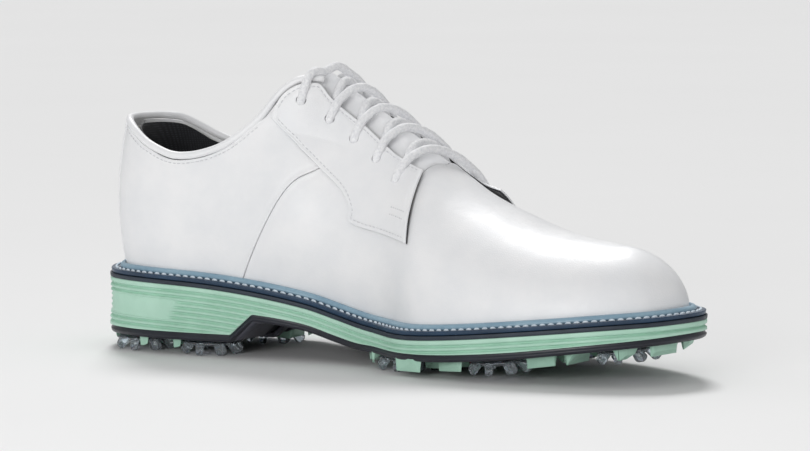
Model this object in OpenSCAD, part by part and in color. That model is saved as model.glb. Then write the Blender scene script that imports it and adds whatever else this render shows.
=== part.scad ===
// Spiked golf shoe, left foot: sole unit, welt, leather upper and nine twist-lock spikes.
// X runs heel to toe, Y to the outer side of the foot, Z up, ground at z = 0.

/* [Sole] */
// length of the sole edge, heel to toe
sole_len = 300; // [270:1:330]
// width of the sole edge across the ball of the foot
ball_w = 115; // [100:1:130]
// thickness of the dark outsole plate
plate_t = 2.4; // [2:0.1:3]
// height of the lugs under the plate
lug_h = 4.6; // [2:0.1:5.5]
// depth of the grooves round the midsole
groove_d = 0.9; // [0.4:0.1:2]

/* [Welt] */
// thickness of the edge layer under the welt
edge_t = 2; // [1:0.1:3]
// thickness of the stitched welt
welt_t = 2; // [1.4:0.1:3]
// height of the rand lip above the welt
rand_h = 1.8; // [1:0.1:3]
// distance between welt stitches
stitch_pitch = 5; // [4:0.25:8]

/* [Upper] */
// distance from the sole edge to the foot of the upper
feather_in = 8; // [6:0.5:11]
// thickness of the outer leather
leather_t = 1.5; // [1:0.1:1.8]
// thickness of the lining
lining_t = 0.7; // [0.5:0.1:1]
// thickness of the heel counter and toe puff
stiffener_t = 1.1; // [0.8:0.1:1.3]
// height of the collar at the back of the heel
heel_h = 106; // [98:1:114]
// diameter of the rolled collar binding
binding_d = 3.4; // [2.4:0.1:4.5]
// diameter of the lace
lace_d = 3.8; // [3:0.1:4.5]
// number of eyelet rows
lace_rows = 5; // [4:1:6]

/* [Spikes] */
// diameter over the spike arms
spike_d = 29.2; // [26:0.2:31]
// diameter of the frosted spike centre
core_d = 16.4; // [13:0.2:18]
// distance from the outsole down to the arm tips
spike_drop = 7; // [6:0.1:8]
// number of arms on a spike
spike_arms = 8; // [6:1:10]
// diameter of the spike stem in its receptacle
stem_d = 9; // [7:0.2:11]
// running gap between stem and receptacle, per side
stem_gap = 0.06; // [0.02:0.01:0.1]

/* [Hidden] */

origin_x = sole_len / 2;
origin_y = -3.066;
kx = sole_len / 300;
ky = ball_w / 115;
fit = 0.35;

mint = [0.72, 0.87, 0.78];
navy = [0.13, 0.16, 0.24];
steel_blue = [0.33, 0.42, 0.52];
white = [0.93, 0.93, 0.94];
black = [0.08, 0.08, 0.1];
grey = [0.35, 0.36, 0.4];

// smooth curve through a few [position, value] pairs
function seg(t, x, i = 0) = (i >= len(t) - 2 || x < t[i + 1][0]) ? i : seg(t, x, i + 1);
function slope(t, i) = let (a = max(i - 1, 0), b = min(i + 1, len(t) - 1))
    (t[b][1] - t[a][1]) / (t[b][0] - t[a][0]);
function curve(t, x) = let (
    i = seg(t, x), h = t[i + 1][0] - t[i][0], u = min(max((x - t[i][0]) / h, 0), 1),
    d = t[i + 1][1] - t[i][1], m0 = slope(t, i) * h, m1 = slope(t, i + 1) * h)
    t[i][1] + u * (m0 + u * (3 * d - 2 * m0 - m1 + u * (m0 + m1 - 2 * d)));
function mix(a, b, t) = a + (b - a) * t;

// sole edge: both sides share their stations, so a station has an inner and an outer point
stations = [0, 3, 14, 35, 65, 97, 126, 151, 178, 207, 240, 268, 290, 300];
outer_y = [-4, 16, 32, 40.5, 42.2, 41.8, 45, 52.2, 54.4, 52.2, 43.8, 31.3, 14, -9];
inner_y = [-4, -18, -33.5, -41.5, -41.3, -37.5, -33.2, -38.8, -56, -60.6, -57, -49.4, -35, -9];
last = len(stations) - 1;
function ctrl(k, i) = i < 0 ? ctrl(-k, -i) : i > last ? ctrl(-k, 2 * last - i)
    : [stations[i] * kx, (k > 0 ? outer_y[i] : inner_y[i]) * ky];
function edge(k, s) = let (t = s * last, i = min(floor(t), last - 1), u = t - i,
    a = ctrl(k, i - 1), b = ctrl(k, i), c = ctrl(k, i + 1), d = ctrl(k, i + 2))
    b + u * ((c - a) / 2 + u * (a - 2.5 * b + 2 * c - d / 2 + u * (1.5 * (b - c) + (d - a) / 2)));
function edge_normal(k, s) = let (t = s * last, i = min(floor(t), last - 1), u = t - i,
    a = ctrl(k, i - 1), b = ctrl(k, i), c = ctrl(k, i + 1), d = ctrl(k, i + 2),
    v = (c - a) / 2 + u * (2 * a - 5 * b + 4 * c - d + u * (4.5 * (b - c) + 1.5 * (d - a))))
    [-v[1], v[0]] * k / norm(v);
function inset(k, s, in) = edge(k, s) - edge_normal(k, s) * in;
function loop(in, n = 44) = concat(
    [for (i = [0:n]) inset(1, i / n, in)],
    [for (i = [1:n - 1]) inset(-1, 1 - i / n, in)]);
function station_of(x, lo = 0, hi = 1, n = 16) = n == 0 ? (lo + hi) / 2
    : let (m = (lo + hi) / 2) edge(1, m)[0] < x ? station_of(x, m, hi, n - 1)
    : station_of(x, lo, m, n - 1);

// side heights along the shoe
mid_top_t = [[0, 32.5], [40, 32], [70, 30.6], [95, 27.7], [115, 24], [131, 19.9], [147, 16.8],
    [165, 15.9], [185, 16.4], [210, 18.4], [240, 21.4], [270, 24.4], [300, 26.8]];
arch_t = [[91, 17], [103, 15.8], [116, 13.6], [130, 9.8], [143, 7.3], [156, 7], [172, 7],
    [190, 7.4], [210, 8.7], [235, 11.1], [262, 14.5], [300, 19]];
heel_z = 7;
breast_x = 80;
breast_run = 11;
heel_wrap = 1.2;
fore_wrap = 0.8;
function mid_top(x) = curve(mid_top_t, x / kx);
function out_bot(x) = let (u = x / kx) u < breast_x ? heel_z
    : u < breast_x + breast_run ? mix(heel_z, arch_t[0][1], (u - breast_x) / breast_run)
    : curve(arch_t, u);
function out_top(x) = out_bot(x) + plate_t + (x < breast_x * kx ? heel_wrap : fore_wrap);
profile_x = concat([for (x = [-10, 20, 50]) x], [breast_x, breast_x + breast_run],
    [for (x = [95:6:310]) x]) * kx;

module strip(lo, hi) {
    rotate([90, 0, 0])
        linear_extrude(160, center = true)
            polygon(concat(lo, [for (i = [len(hi) - 1:-1:0]) hi[i]]));
}
function over(dz) = [for (x = profile_x) [x, mid_top(x) + dz]];
function under(dz) = [for (x = profile_x) [x, out_bot(x) + dz]];
function plate_line() = [for (x = profile_x) [x, out_top(x)]];

module ring(in_a, in_b, lo, hi) {
    intersection() {
        linear_extrude(80)
            difference() {
                polygon(loop(in_a));
                polygon(loop(in_b));
            }
        strip(lo, hi);
    }
}
module slab(in_a, lo, hi) {
    intersection() {
        linear_extrude(80)
            polygon(loop(in_a));
        strip(lo, hi);
    }
}

// spikes: [x, y, tilt of the sole there]
spikes = [[170, 35, 0], [224.5, 22.5, 5], [270, -20, 7.5], [218, -39, 4], [167.5, -29.5, 0],
    [27.5, 19.5, 0], [63.5, 27, 0], [26, -23, 0], [62, -24.5, 0]];
module at_spike(i) {
    p = spikes[i];
    translate([p[0] * kx, p[1] * ky, out_bot(p[0] * kx)])
        rotate([0, -p[2], 0])
            children();
}
seat_d = stem_d + 7;
seat_h = 6;
collar_h = 1.2;

module outsole() {
    color(navy)
        difference() {
            slab(1.2, under(0), plate_line());
            for (i = [0:8])
                at_spike(i)
                    translate([0, 0, -lug_h - 3])
                        cylinder(d = seat_d, h = lug_h + 3 + seat_h);
        }
}

// lugs in plan: the two ends of the ridge, the other corners of the tall side, those of the low side
forefoot_lug_plan = [
    [[[136, 17.2], [149.8, 16.5]], [[142.8, 11]], [[145.5, 19], [138.5, 18.9]]],
    [[[145.5, 26.8], [166, 22.3]], [[154.5, 18]], [[160, 27], [149.8, 29]]],
    [[[146, 34.4], [153.8, 35.2]], [[144.4, 30.2]], []],
    [[[153.8, 44.8], [161, 44.5]], [[160, 37], [156, 38.6]], [[160, 46.5], [155.5, 46]]],
    [[[177, 48.5], [198.5, 41.3]], [[196.5, 40.2], [184, 41.2]], [[191, 45], [182, 48.6]]],
    [[[199.5, 46.4], [220.4, 36]], [[215, 36.7], [204, 41.5]], [[214, 40.6], [205.8, 44.9]]],
    [[[189.5, 35.6], [208, 24.3]], [[206, 23.9], [194, 26.3], [188, 34.6]],
        [[212, 24.4], [201.5, 33], [194, 36]]],
    [[[183.2, 27.6], [186, 29.4]], [[188.6, 26], [183.6, 26]], []],
    [[[176.2, 18.8], [192.2, 10.5]], [[191, 9.9], [178.3, 9.8]],
        [[194.3, 12], [183, 20.1], [179.5, 20.2]]],
    [[[196.8, 21.2], [214, 7.8]], [[213, 7.6], [198.7, 11.2], [195.8, 21.6]],
        [[216, 8.2], [207.5, 18.4], [203.3, 20.5]]],
    [[[225, 9.7], [232, 0.3]], [[221, 4.8], [219.6, 9.8]], [[237.4, -2], [230, 8], [228.6, 9.3]]],
    [[[234, 35.6], [249.6, 22.6]], [[247, 22.8], [238.6, 30.3]], [[245, 29], [237, 35.2]]],
    [[[240.3, 19.6], [251.6, 4.9]], [[240.5, 13.2], [238.2, 18.4]],
        [[253.8, 4.7], [248, 16.6], [244.4, 19.3]]],
    [[[258.6, 27.8], [269.4, 11.2]], [[270.4, 12.5], [270, 22.2]], [[268.3, 10.4], [255.2, 27.2]]],
    [[[262.7, 9], [269.4, -4.8]], [[270.4, -4.8], [270.8, 4.1]], [[268, -4.8], [260.2, 9.4]]],
    [[[279.6, 15.6], [288.6, -4.4]], [[290.5, 4.5]], [[286.6, -3], [275.3, 16]]],
    [[[278.6, -2.2], [285.6, -17.5]], [[288, -9.8]], [[283, -16.2], [275.6, -1.6]]],
    [[[291.2, -15], [285.9, -31.2]], [[287.5, -31.6], [293, -17]], []],
    [[[276.5, -34.6], [275.5, -40]], [[278.4, -37.3], [281.4, -31.8]], [[273, -41.3], [272.9, -37]]],
    [[[241, 7.2], [252.7, -15.3]], [[241.2, -4.7]], [[254, -15.6], [251.8, -3.5], [246, 4.6]]],
    [[[220, 0.8], [228.8, -16.8]], [[216.4, -11], [218.6, -2]],
        [[231.8, -18.4], [233.3, -12.8], [230.2, -3.4], [223.6, -0.6]]],
    [[[199.6, 5.6], [210.8, -8.9]], [[197.2, -4.8], [198, 6.3]],
        [[212.7, -8.8], [213.5, -5.6], [207.6, 3.7], [203, 4.3]]],
    [[[182, 3.4], [192.6, -3.3]], [[178.6, -3.3], [178, 1]], [[193.4, -2], [187.4, 4.4]]],
    [[[161.2, -0.1], [165.8, -0.3]], [[170.6, -4.4], [162.2, -6.7]], []],
    [[[148.4, -5.9], [156, -9.5]], [[148.8, -14.2]], [[156.6, -8.2], [150.4, -4.8]]],
    [[[158.5, -16.6], [170.6, -7.8]], [[160.4, -9.9]], [[165, -13.8]]],
    [[[145.2, -12], [142.2, -18.8]], [[142.1, -16]], []],
    [[[175, -14.1], [191, -8.9]], [[190, -7], [178, -6.8]], [[189, -11.4], [178.4, -14.9]]],
    [[[192.3, -16.7], [210.4, -12.4]], [[195.8, -8.2]], [[208.6, -15.4], [196.9, -18.4]]],
    [[[207.3, -23.3], [228.4, -20.9]], [[214.6, -14.1]], [[226.6, -24.6], [213, -24.4]]],
    [[[240, -9.5], [245.6, -33]], [[234.5, -21.4]], [[247, -32.6], [249.3, -28.6], [245.4, -14.9]]],
    [[[233.8, -34.4], [241.3, -33.7]], [[232.7, -24.7], [229, -28.8]],
        [[242.9, -37.1], [240.8, -39.9], [234.8, -39.7]]],
    [[[255.4, -27.2], [254.2, -46.9]], [[252.9, -46.2], [248.4, -37.1]],
        [[258, -46.6], [258.6, -36], [257.8, -28.4]]],
    [[[235.9, -48.8], [249.6, -46.2]], [[245.3, -40.2]], [[249.4, -48.6], [236, -51.4]]],
    [[[182.2, -25.2], [200.5, -24.4]], [[188.9, -20.1]], [[198.7, -26.8], [186, -28.1]]],
    [[[194.8, -33.8], [203.4, -33.6]], [[208, -28.4], [204.9, -26.6]], [[203, -36], [199, -36.2]]],
    [[[181.7, -40.9], [198, -41.3]], [[190.6, -36]], [[196.6, -44.2], [187.4, -45]]],
    [[[193.4, -49.6], [207.8, -54.1]], [[203, -46.4]], [[204.4, -54.9]]],
    [[[174.2, -53.2], [189.3, -57.2]], [[185.5, -51]], [[184.5, -57.6]]],
    [[[172.6, -44.2], [180.9, -46.2]], [[176.6, -42.6]], [[178, -48.4]]],
    [[[145.4, -27], [153.6, -21]], [[152.6, -28.2], [147, -29]], [[152.4, -19.4], [145.4, -24]]],
    [[[151, -33.8], [153.4, -33.8]], [[157, -39.4], [154.3, -39.6]], []],
    [[[224.8, 41.3], [231.6, 38.6]], [[228.4, 38.2]], []]];
heel_lug_plan = [
    [[[3.2, -5.4], [3.6, 3.8]], [[5.4, 8.8], [11, 11.3], [8, 6], [4.4, -3.2]], []],
    [[[4, -14.2], [9.6, -8]], [[9.3, -12], [9, -21], [8.2, -23], [6.6, -20.6], [5, -18.3]], []],
    [[[13.4, 11.7], [13.1, 6]], [[13.9, 1.8], [18.6, 6], [18.4, 10.4]], []],
    [[[20.3, 2.3], [13.1, -1.9]], [[12.9, -5.5], [13.5, -12.6], [15.2, -14.4], [17.8, -7], [21, 1.8]], []],
    [[[34.9, 7.3], [27.4, 5.6]], [[26.9, 0.3], [28.1, -5.8], [30.4, -3.3], [33.2, 3.1]], []],
    [[[27.4, -9.6], [32.4, -5.4]], [[35.1, -7.3], [34.9, -10.9], [30.3, -10.5]], []],
    [[[47.6, 19.6], [46.2, 7.4]], [[45.2, 6.8], [43.7, 11], [44.6, 18.4]],
        [[50.4, 10.3], [55.4, 16.4], [54, 19.2], [49.8, 20.2]]],
    [[[35.6, 35.2], [38.9, 37.4]], [[44.9, 37.3], [40.4, 33.2], [37.1, 31.5]], []],
    [[[38.9, 28.1], [44.6, 30.9]], [[47.1, 29.9], [41.7, 26.5]], []],
    [[[81.4, 24.7], [75.2, 18.8]], [[69.9, 12.1], [79.8, 13.9], [81.4, 15.4]], []],
    [[[77.6, 31.7], [81.4, 33]], [[81.4, 29.6], [79.6, 28.7]], []],
    [[[39.6, -24.6], [48.4, -24.7]], [[44.6, -17.3], [37.8, -21.5]],
        [[49.6, -31], [39.4, -31], [39.2, -26]]],
    [[[51.4, -11.1], [58, -9]], [[56.6, -11], [51.8, -13.2]], []],
    [[[31, -36.8], [32.4, -34.8]], [[34.9, -35.2], [36, -37.1]], []],
    [[[48.9, -37.1], [50.8, -35.2]], [[53.5, -36.6], [54, -37.2]], []],
    [[[16.6, 28.6], [18.2, 31.6]], [[20.6, 34], [17.9, 33]], []]];
low_side = 0.45;
module lug_prisms(plan, height, low) {
    intersection() {
        linear_extrude(60)
            scale([kx, ky])
                for (c = plan)
                    if (!low || len(c[2]) > 0)
                        polygon(concat(c[0], low ? c[2] : c[1]));
        strip(under(-height), under(-0.02));
    }
}
module lugs(plan, height, first, final) {
    color(mint)
        difference() {
            union() {
                lug_prisms(plan, height, false);
                lug_prisms(plan, height * low_side, true);
            }
            for (i = [first:final])
                at_spike(i)
                    translate([0, 0, -20])
                        cylinder(d = spike_d + 1.5, h = 24);
        }
}
module forefoot_lugs() { lugs(forefoot_lug_plan, lug_h, 0, 4); }
module heel_lugs() { lugs(heel_lug_plan, lug_h - 0.4, 5, 8); }

// bridge along the waist of the sole with a badge let into it
bridge_half = [[50, 1.4], [70, 1.8], [86, 3], [93, 6.6], [110, 7.6], [124, 6.8], [132, 3], [150, 1.8],
    [171, 1.1]];
bridge_y = 2.5;
bridge_drop = 2.6;
badge_x = [93, 128];
badge_w = 7;
module bridge_plan() {
    scale([kx, ky])
        polygon(concat([for (p = bridge_half) [p[0], bridge_y + p[1]]],
            [for (i = [len(bridge_half) - 1:-1:0]) [bridge_half[i][0], bridge_y - bridge_half[i][1]]]));
}
module pill(grow, h) {
    r = badge_w / 2 + grow;
    hull()
        for (x = badge_x)
            translate([(x + (x < 100 ? 4 : -4)) * kx, bridge_y * ky])
                cylinder(r = r, h = h, $fn = 24);
}
module badge_band(lo, hi) {
    intersection() {
        children();
        strip(under(lo), under(hi));
    }
}
module arch_bridge() {
    color(grey)
        difference() {
            intersection() {
                linear_extrude(60)
                    bridge_plan();
                strip(under(-bridge_drop), under(-0.02));
            }
            badge_band(-bridge_drop - 1, -bridge_drop + 1.2)
                pill(0.8, 60);
        }
}
module badge_bezel() {
    color([0.7, 0.72, 0.75])
        badge_band(-bridge_drop - 0.5, -bridge_drop + 1.15)
            difference() {
                pill(0.75, 60);
                pill(-0.05, 60);
            }
}
module badge_window() {
    color(black)
        badge_band(-bridge_drop - 0.2, -bridge_drop + 1.15)
            pill(-0.1, 60);
}
module heel_breast_pads() {
    color(grey)
        for (side = [[12, 39], [-36, -10]])
            intersection() {
                translate([(breast_x + 1.8) * kx, side[0] * ky, 0])
                    cube([(breast_run + 1.2) * kx, (side[1] - side[0]) * ky, 60]);
                strip(under(-1.2), under(-0.02));
            }
}

module spike_receptacles() {
    color(black)
        for (i = [0:8])
            at_spike(i)
                difference() {
                    union() {
                        cylinder(d = seat_d - 0.2, h = seat_h - 0.05);
                        translate([0, 0, -collar_h])
                            cylinder(d = seat_d - 0.2, h = collar_h + 0.01);
                    }
                    translate([0, 0, -collar_h - 1])
                        cylinder(d = stem_d + 2 * stem_gap, h = seat_h + collar_h - 0.2);
                }
}
base_gap = 0.05;
base_t = 1.6;
arm_w = 3;
module arm() {
    r = spike_d / 2;
    root = core_d / 2 + 0.6;
    top = -collar_h - base_gap - 0.2;
    rotate([90, 0, 0])
        linear_extrude(arm_w, center = true)
            polygon([[root, top], [root, top - base_t + 0.4], [r - 4.4, -spike_drop], [r - 2.2, -spike_drop],
                [r, -spike_drop + 2.2], [r - 0.8, top]]);
}
module spike(i) {
    top = -collar_h - base_gap;
    color([0.85, 0.9, 0.93, 0.6])
        at_spike(i) {
            difference() {
                translate([0, 0, top - base_t])
                    cylinder(d = core_d + 2.8, h = base_t);
                translate([0, 0, top - base_t - 1])
                    cylinder(d = core_d, h = 1.6);
            }
            translate([0, 0, top - 0.5])
                cylinder(d = stem_d, h = seat_h + collar_h - 1);
            for (a = [0:spike_arms - 1])
                rotate([0, 0, a * 360 / spike_arms])
                    arm();
        }
}
module core(i) {
    top = -collar_h - base_gap - base_t + 0.6;
    color([0.95, 0.96, 0.97])
        at_spike(i)
            rotate_extrude()
                polygon([[0, top], [core_d / 2 - 0.02, top], [core_d / 2 - 0.02, top - 0.7],
                    [core_d / 2 - 1.2, top - 1.2], [2, top - 1.7], [0, top - 1.75]]);
}
module spike_1() { spike(0); }
module spike_2() { spike(1); }
module spike_3() { spike(2); }
module spike_4() { spike(3); }
module spike_5() { spike(4); }
module spike_6() { spike(5); }
module spike_7() { spike(6); }
module spike_8() { spike(7); }
module spike_9() { spike(8); }
module core_1() { core(0); }
module core_2() { core(1); }
module core_3() { core(2); }
module core_4() { core(3); }
module core_5() { core(4); }
module core_6() { core(5); }
module core_7() { core(6); }
module core_8() { core(7); }
module core_9() { core(8); }

// midsole and welt
groove_first = 2.75;
groove_pitch = 2.42;
groove_w = 0.7;
groove_count = 3;
module midsole() {
    color(mint)
        difference() {
            slab(0.4, [for (x = profile_x) [x, out_top(x) + 0.02]], over(0));
            for (i = [0:groove_count - 1])
                let (g = groove_first + i * groove_pitch)
                intersection() {
                    ring(-1, 0.4 + groove_d, over(-g - groove_w / 2), over(-g + groove_w / 2));
                    strip([for (x = profile_x) [x, out_top(x) + 1.2]], over(0));
                }
            for (i = [0:8])
                at_spike(i)
                    translate([0, 0, -1])
                        cylinder(d = seat_d, h = seat_h + 1);
        }
}
module welt_edge() {
    color(navy)
        ring(0.6, 20, over(0.03), over(edge_t));
}
module welt() {
    color(steel_blue)
        ring(1.3, feather_in + 4.5, over(edge_t + 0.03), over(edge_t + welt_t));
}
module rand() {
    color(steel_blue)
        ring(feather_in - 2.7, feather_in - 0.55, over(edge_t + welt_t + 0.03),
            over(edge_t + welt_t + rand_h));
}
stitch_len = 3.2;
module welt_stitching() {
    n = round(720 * kx / stitch_pitch / 2);
    base = edge_t + welt_t + 0.03;
    color([0.8, 0.84, 0.88])
        for (k = [-1, 1], i = [0:n - 1])
            let (s = (i + 0.5) / n, p = inset(k, s, 3.4), q = edge_normal(k, s),
                dip = atan((mid_top(p[0] + 2) - mid_top(p[0] - 2)) / 4))
                translate([p[0], p[1], mid_top(p[0]) + base + 0.35])
                    rotate([0, -dip, 0])
                        rotate([0, 0, atan2(q[1], q[0]) + 90])
                            cube([stitch_len, 0.8, 0.5], center = true);
}
module shank() {
    color([0.6, 0.62, 0.65])
        intersection() {
            translate([45 * kx, -4.5, 0])
                cube([100 * kx, 11, 80]);
            strip(over(0.1), over(1.3));
        }
}
board_in = feather_in + 4.8;
module insole_board() {
    color([0.72, 0.6, 0.45])
        slab(board_in, over(edge_t + 0.05), over(edge_t + welt_t - 0.05));
}
module sock_liner() {
    color([0.82, 0.85, 0.86])
        slab(board_in + 0.5, over(edge_t + welt_t + 0.05), over(edge_t + welt_t + 4));
}

// upper: a dome over the sole edge, described by station along the edge and climb angle
ridge_t = [[0, 190], [60, 170], [90, 158], [105, 146], [117, 125.5], [137, 110.5], [157, 96.5], [172, 86],
    [185, 77.5], [202, 70], [229, 61], [255, 57.3], [262, 56.8], [300, 56]];
tongue_t = [[90, 130], [100, 131], [106, 129.5], [112, 126], [117, 122.5], [137, 109.5], [157, 96.5],
    [172, 86], [190, 75]];
lean_t = [[0, 12], [14, 8], [35, 3], [65, 0], [200, 0], [240, -5], [268, -14], [290, -30], [300, -38.5]];
middle_t = [[0, -4], [40, 0], [100, 2], [150, 0], [200, -3], [250, -7], [300, -9]];
round_t = [[0, 2], [120, 2], [160, 2.1], [220, 2.2], [270, 2.05], [300, 1.9]];
belly_in_t = [[0, 4], [40, 2], [80, 2], [115, 5], [150, 3], [190, 0], [300, 0]];
belly_out_t = [[0, 4], [40, 2], [90, 1], [150, 0.5], [190, 0], [300, 0]];
collar_t = [[0, heel_h], [12, heel_h - 2], [30, 96], [50, 91], [73, 97], [90, 111], [95, 118.5],
    [100.5, 124], [106, 126.5], [112, 126.3]];
function foot_z(x) = mid_top(x) + edge_t + welt_t + 0.1;
function dome(k, s, a, tongue) = let (
    e = edge(k, s), p = inset(k, s, feather_in), u = e[0] / kx, x1 = (u + curve(lean_t, u)) * kx,
    n = curve(round_t, u), c = pow(max(cos(a), 0), 2 / n), v = pow(max(sin(a), 0), 2 / n),
    mid = curve(middle_t, u) * ky, z0 = foot_z(p[0]),
    top = tongue ? curve(tongue_t, u) : curve(ridge_t, x1 / kx),
    q = edge_normal(k, s), t = min(v * (top - z0) / 70, 1),
    belly = curve(k > 0 ? belly_out_t : belly_in_t, u) * sin(180 * t) * c)
    [mix(x1, p[0], c) + q[0] * belly, mid + k * abs(p[1] - mid) * c + q[1] * belly,
        z0 + v * (top - z0)];
function unit(v) = v / norm(v);
function run(k, s, a, tongue) = dome(k, min(s + 0.006, 1), a, tongue) - dome(k, max(s - 0.006, 0), a, tongue);
function outward(k, s, a, tongue) = let (
    b = min(a, 82), da = dome(k, s, b + 2, tongue) - dome(k, s, max(b - 2, 0), tongue),
    r = run(k, s, a, tongue))
    a >= 90 ? unit([-r[2], 0, r[0]])
    : unit(cross(da, s <= 0 ? [0, k, 0] : s >= 1 ? [0, -k, 0] : run(k, s, b, tongue))) * k;
function wall(k, s, a, d, tongue = false) = dome(k, s, a, tongue) + outward(k, s, a, tongue) * d;
function climb(k, s, z) = let (e = edge(k, s), u = e[0] / kx, x1 = u + curve(lean_t, u),
    z0 = foot_z(inset(k, s, feather_in)[0]), n = curve(round_t, u))
    asin(pow(min(max((z - z0) / (curve(ridge_t, x1) - z0), 0), 1), n / 2));

// closed shell between an outer and an inner grid of points
function flip(f) = [for (t = f) [t[0], t[2], t[1]]];
function quad(a, b, c, d) = [[a, b, c], [a, c, d]];
function cells(n, m, at) = [for (i = [0:n - 2], j = [0:m - 2])
    for (t = quad(at + i * m + j, at + (i + 1) * m + j, at + (i + 1) * m + j + 1, at + i * m + j + 1)) t];
function band(p, o) = [for (i = [0:len(p) - 2]) for (t = quad(p[i + 1], p[i], p[i] + o, p[i + 1] + o)) t];
// faces of one half sheet: foot, top (left out where halves meet), back and front edges
function half_faces(n, m, o, at, met, back, front) = let (skin = cells(n, m, at)) concat(
    skin, [for (t = flip(skin)) [t[0] + o, t[1] + o, t[2] + o]],
    band([for (i = [0:n - 1]) at + i * m], o),
    [for (i = [0:n - 2]) if (!(met[i] && met[i + 1]))
        for (t = band([at + (i + 2) * m - 1, at + (i + 1) * m - 1], o)) t],
    back ? band([for (j = [m - 1:-1:0]) at + j], o) : [],
    front ? band([for (j = [0:m - 1]) at + (n - 1) * m + j], o) : []);
// a patch runs between a lower and an upper line, each a list of [way along, station, climb]
// skew lists how far the outer side lies ahead of the inner side at some ways along
function line(k, l, skew = [[0, 0]]) = [for (p = l) let (
    s = p[1] <= 0 ? 0 : p[1] >= 300 ? 1 : station_of(p[1] * kx), ahead = k > 0 ? lookup(p[0], skew) : 0)
    [p[0], ahead > 0 ? station_of((p[1] + ahead) * kx) : s, climb(k, s, p[2])]];
function read(l, a) = [curve([for (p = l) [p[0], p[1]]], a), min(curve([for (p = l) [p[0], p[2]]], a), 90)];
// where the upper line is on the ridge, both sides take the inner side's stations
function grid(k, lo, hi, na, nb, d, warp, swell, tongue = false, ridge = undef) = [for (i = [0:na]) let (
    p = read(lo, i / na), h = read(hi, i / na),
    q = ridge != undef && h[1] >= 90 ? read(ridge, i / na) : h) [for (j = [0:nb]) let (
        b = j / nb, s = mix(p[0], q[0], pow(b, warp)), a = mix(p[1], q[1], b))
        wall(k, s, a, d + swell * deeper(k, s, a) + (tongue ? plump(k, s, a) : 0), tongue)]];
function ramp(x, a, b) = let (u = min(max((x - a) / (b - a), 0), 1)) u * u * (3 - 2 * u);
function deeper(k, s, a) = let (u = edge(k, s)[0] / kx, z = dome(k, s, a, false)[2],
    rise = (z - foot_z(u * kx)) / 68)
    -3 * pow(min(rise, 1), 2) * (1 - ramp(u, 70, 100)) - 1.6 * ramp(u, 88, 108) * (1 - ramp(u, 160, 178))
    * ramp(a, 22, 40);
function plump(k, s, a) = tongue_swell * ramp(a, 55, 66) * (1 - ramp(edge(k, s)[0] / kx, 152, 164));
function flat_list(g) = [for (r = g) each r];
module patch(k, lo, hi, na, nb, d0, d1, warp = 1, skew = [[0, 0]]) {
    l = line(k, lo, skew);
    h = line(k, hi, skew);
    o = (na + 1) * (nb + 1);
    faces = half_faces(na + 1, nb + 1, o, 0, [for (i = [0:na]) false], true, true);
    polyhedron(concat(flat_list(grid(k, l, h, na, nb, d0, warp, 0)),
        flat_list(grid(k, l, h, na, nb, d1, warp, 0))), k > 0 ? faces : flip(faces));
}
// both halves in one closed sheet, joined along the ridge and at a shared heel or toe
module sheet(lo, hi, na, nb, d0, d1, warp = 1, s0 = 0, s1 = 0, tongue = false, skew = [[0, 0]]) {
    n = na + 1;
    m = nb + 1;
    l = [for (k = [1, -1]) line(k, lo, skew)];
    inner = line(-1, hi);
    h = [for (k = [1, -1]) line(k, hi, skew)];
    o = 2 * n * m;
    met = [for (i = [0:na]) read(h[0], i / na)[1] >= 90 && read(h[1], i / na)[1] >= 90];
    back = l[0][0][1] > 0;
    front = l[0][len(lo) - 1][1] < 1;
    polyhedron(
        concat(
            flat_list(grid(1, l[0], h[0], na, nb, d0, warp, s0, tongue, inner)),
            flat_list(grid(-1, l[1], h[1], na, nb, d0, warp, s0, tongue, inner)),
            flat_list(grid(1, l[0], h[0], na, nb, d1, warp, s1, tongue, inner)),
            flat_list(grid(-1, l[1], h[1], na, nb, d1, warp, s1, tongue, inner))),
        concat(half_faces(n, m, o, 0, met, back, front),
            flip(half_faces(n, m, o, n * m, met, back, front))));
}
skin_d = -leather_t;
stiff_d0 = skin_d - fit;
stiff_d1 = stiff_d0 - stiffener_t;
lining_d0 = stiff_d1 - fit;
lining_d1 = lining_d0 - lining_t;
overlay_d0 = 0.3;
overlay_d1 = overlay_d0 + leather_t - 0.2;
top_clear = binding_d + 1.7;
seam_x = 83.2;
seam_top = [125, 90.5];
seam_gap = 0.15;
high = 400;

// vamp: toe dome and both flanks back to the rear seams
vamp_lo = [[0, seam_x + seam_gap, 0], [0.5, 190, 0], [0.8, 262, 0], [1, 300, 0]];
vamp_hi = [[0, seam_top[0] + seam_gap, seam_top[1]], [0.15, 142, 80], [0.26, 160, 74.5], [0.3, 168, 79],
    [0.32, 168.6, 85], [0.35, 169, high], [0.5, 204, high], [0.75, 255, high], [1, 300, high]];
vamp_skew = [[0, 0], [0.15, 12], [0.26, 16], [0.3, 12], [0.32, 9], [0.35, 0], [1, 0]];
module vamp() {
    color(white)
        sheet(vamp_lo, vamp_hi, 32, 10, 0, skin_d, 1.1, skew = vamp_skew);
}
liner_lo = [[0, 127, 0], [0.5, 210, 0], [0.8, 268, 0], [1, 300, 0]];
liner_hi = [[0, 127, 102.5], [0.25, 157, 85], [0.3, 166, 80], [0.38, 178, high], [0.7, 248, high],
    [1, 300, high]];
module vamp_lining() {
    color([0.16, 0.17, 0.19])
        sheet(liner_lo, liner_hi, 22, 8, lining_d0, lining_d1, 1, 1, 1);
}
puff_lo = [[0, 250, 1], [0.6, 285, 1], [1, 300, 1]];
puff_hi = [[0, 246, high], [0.6, 284, high], [1, 300, high]];
module toe_puff() {
    color([0.85, 0.83, 0.76])
        sheet(puff_lo, puff_hi, 12, 7, stiff_d0, stiff_d1);
}

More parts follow.
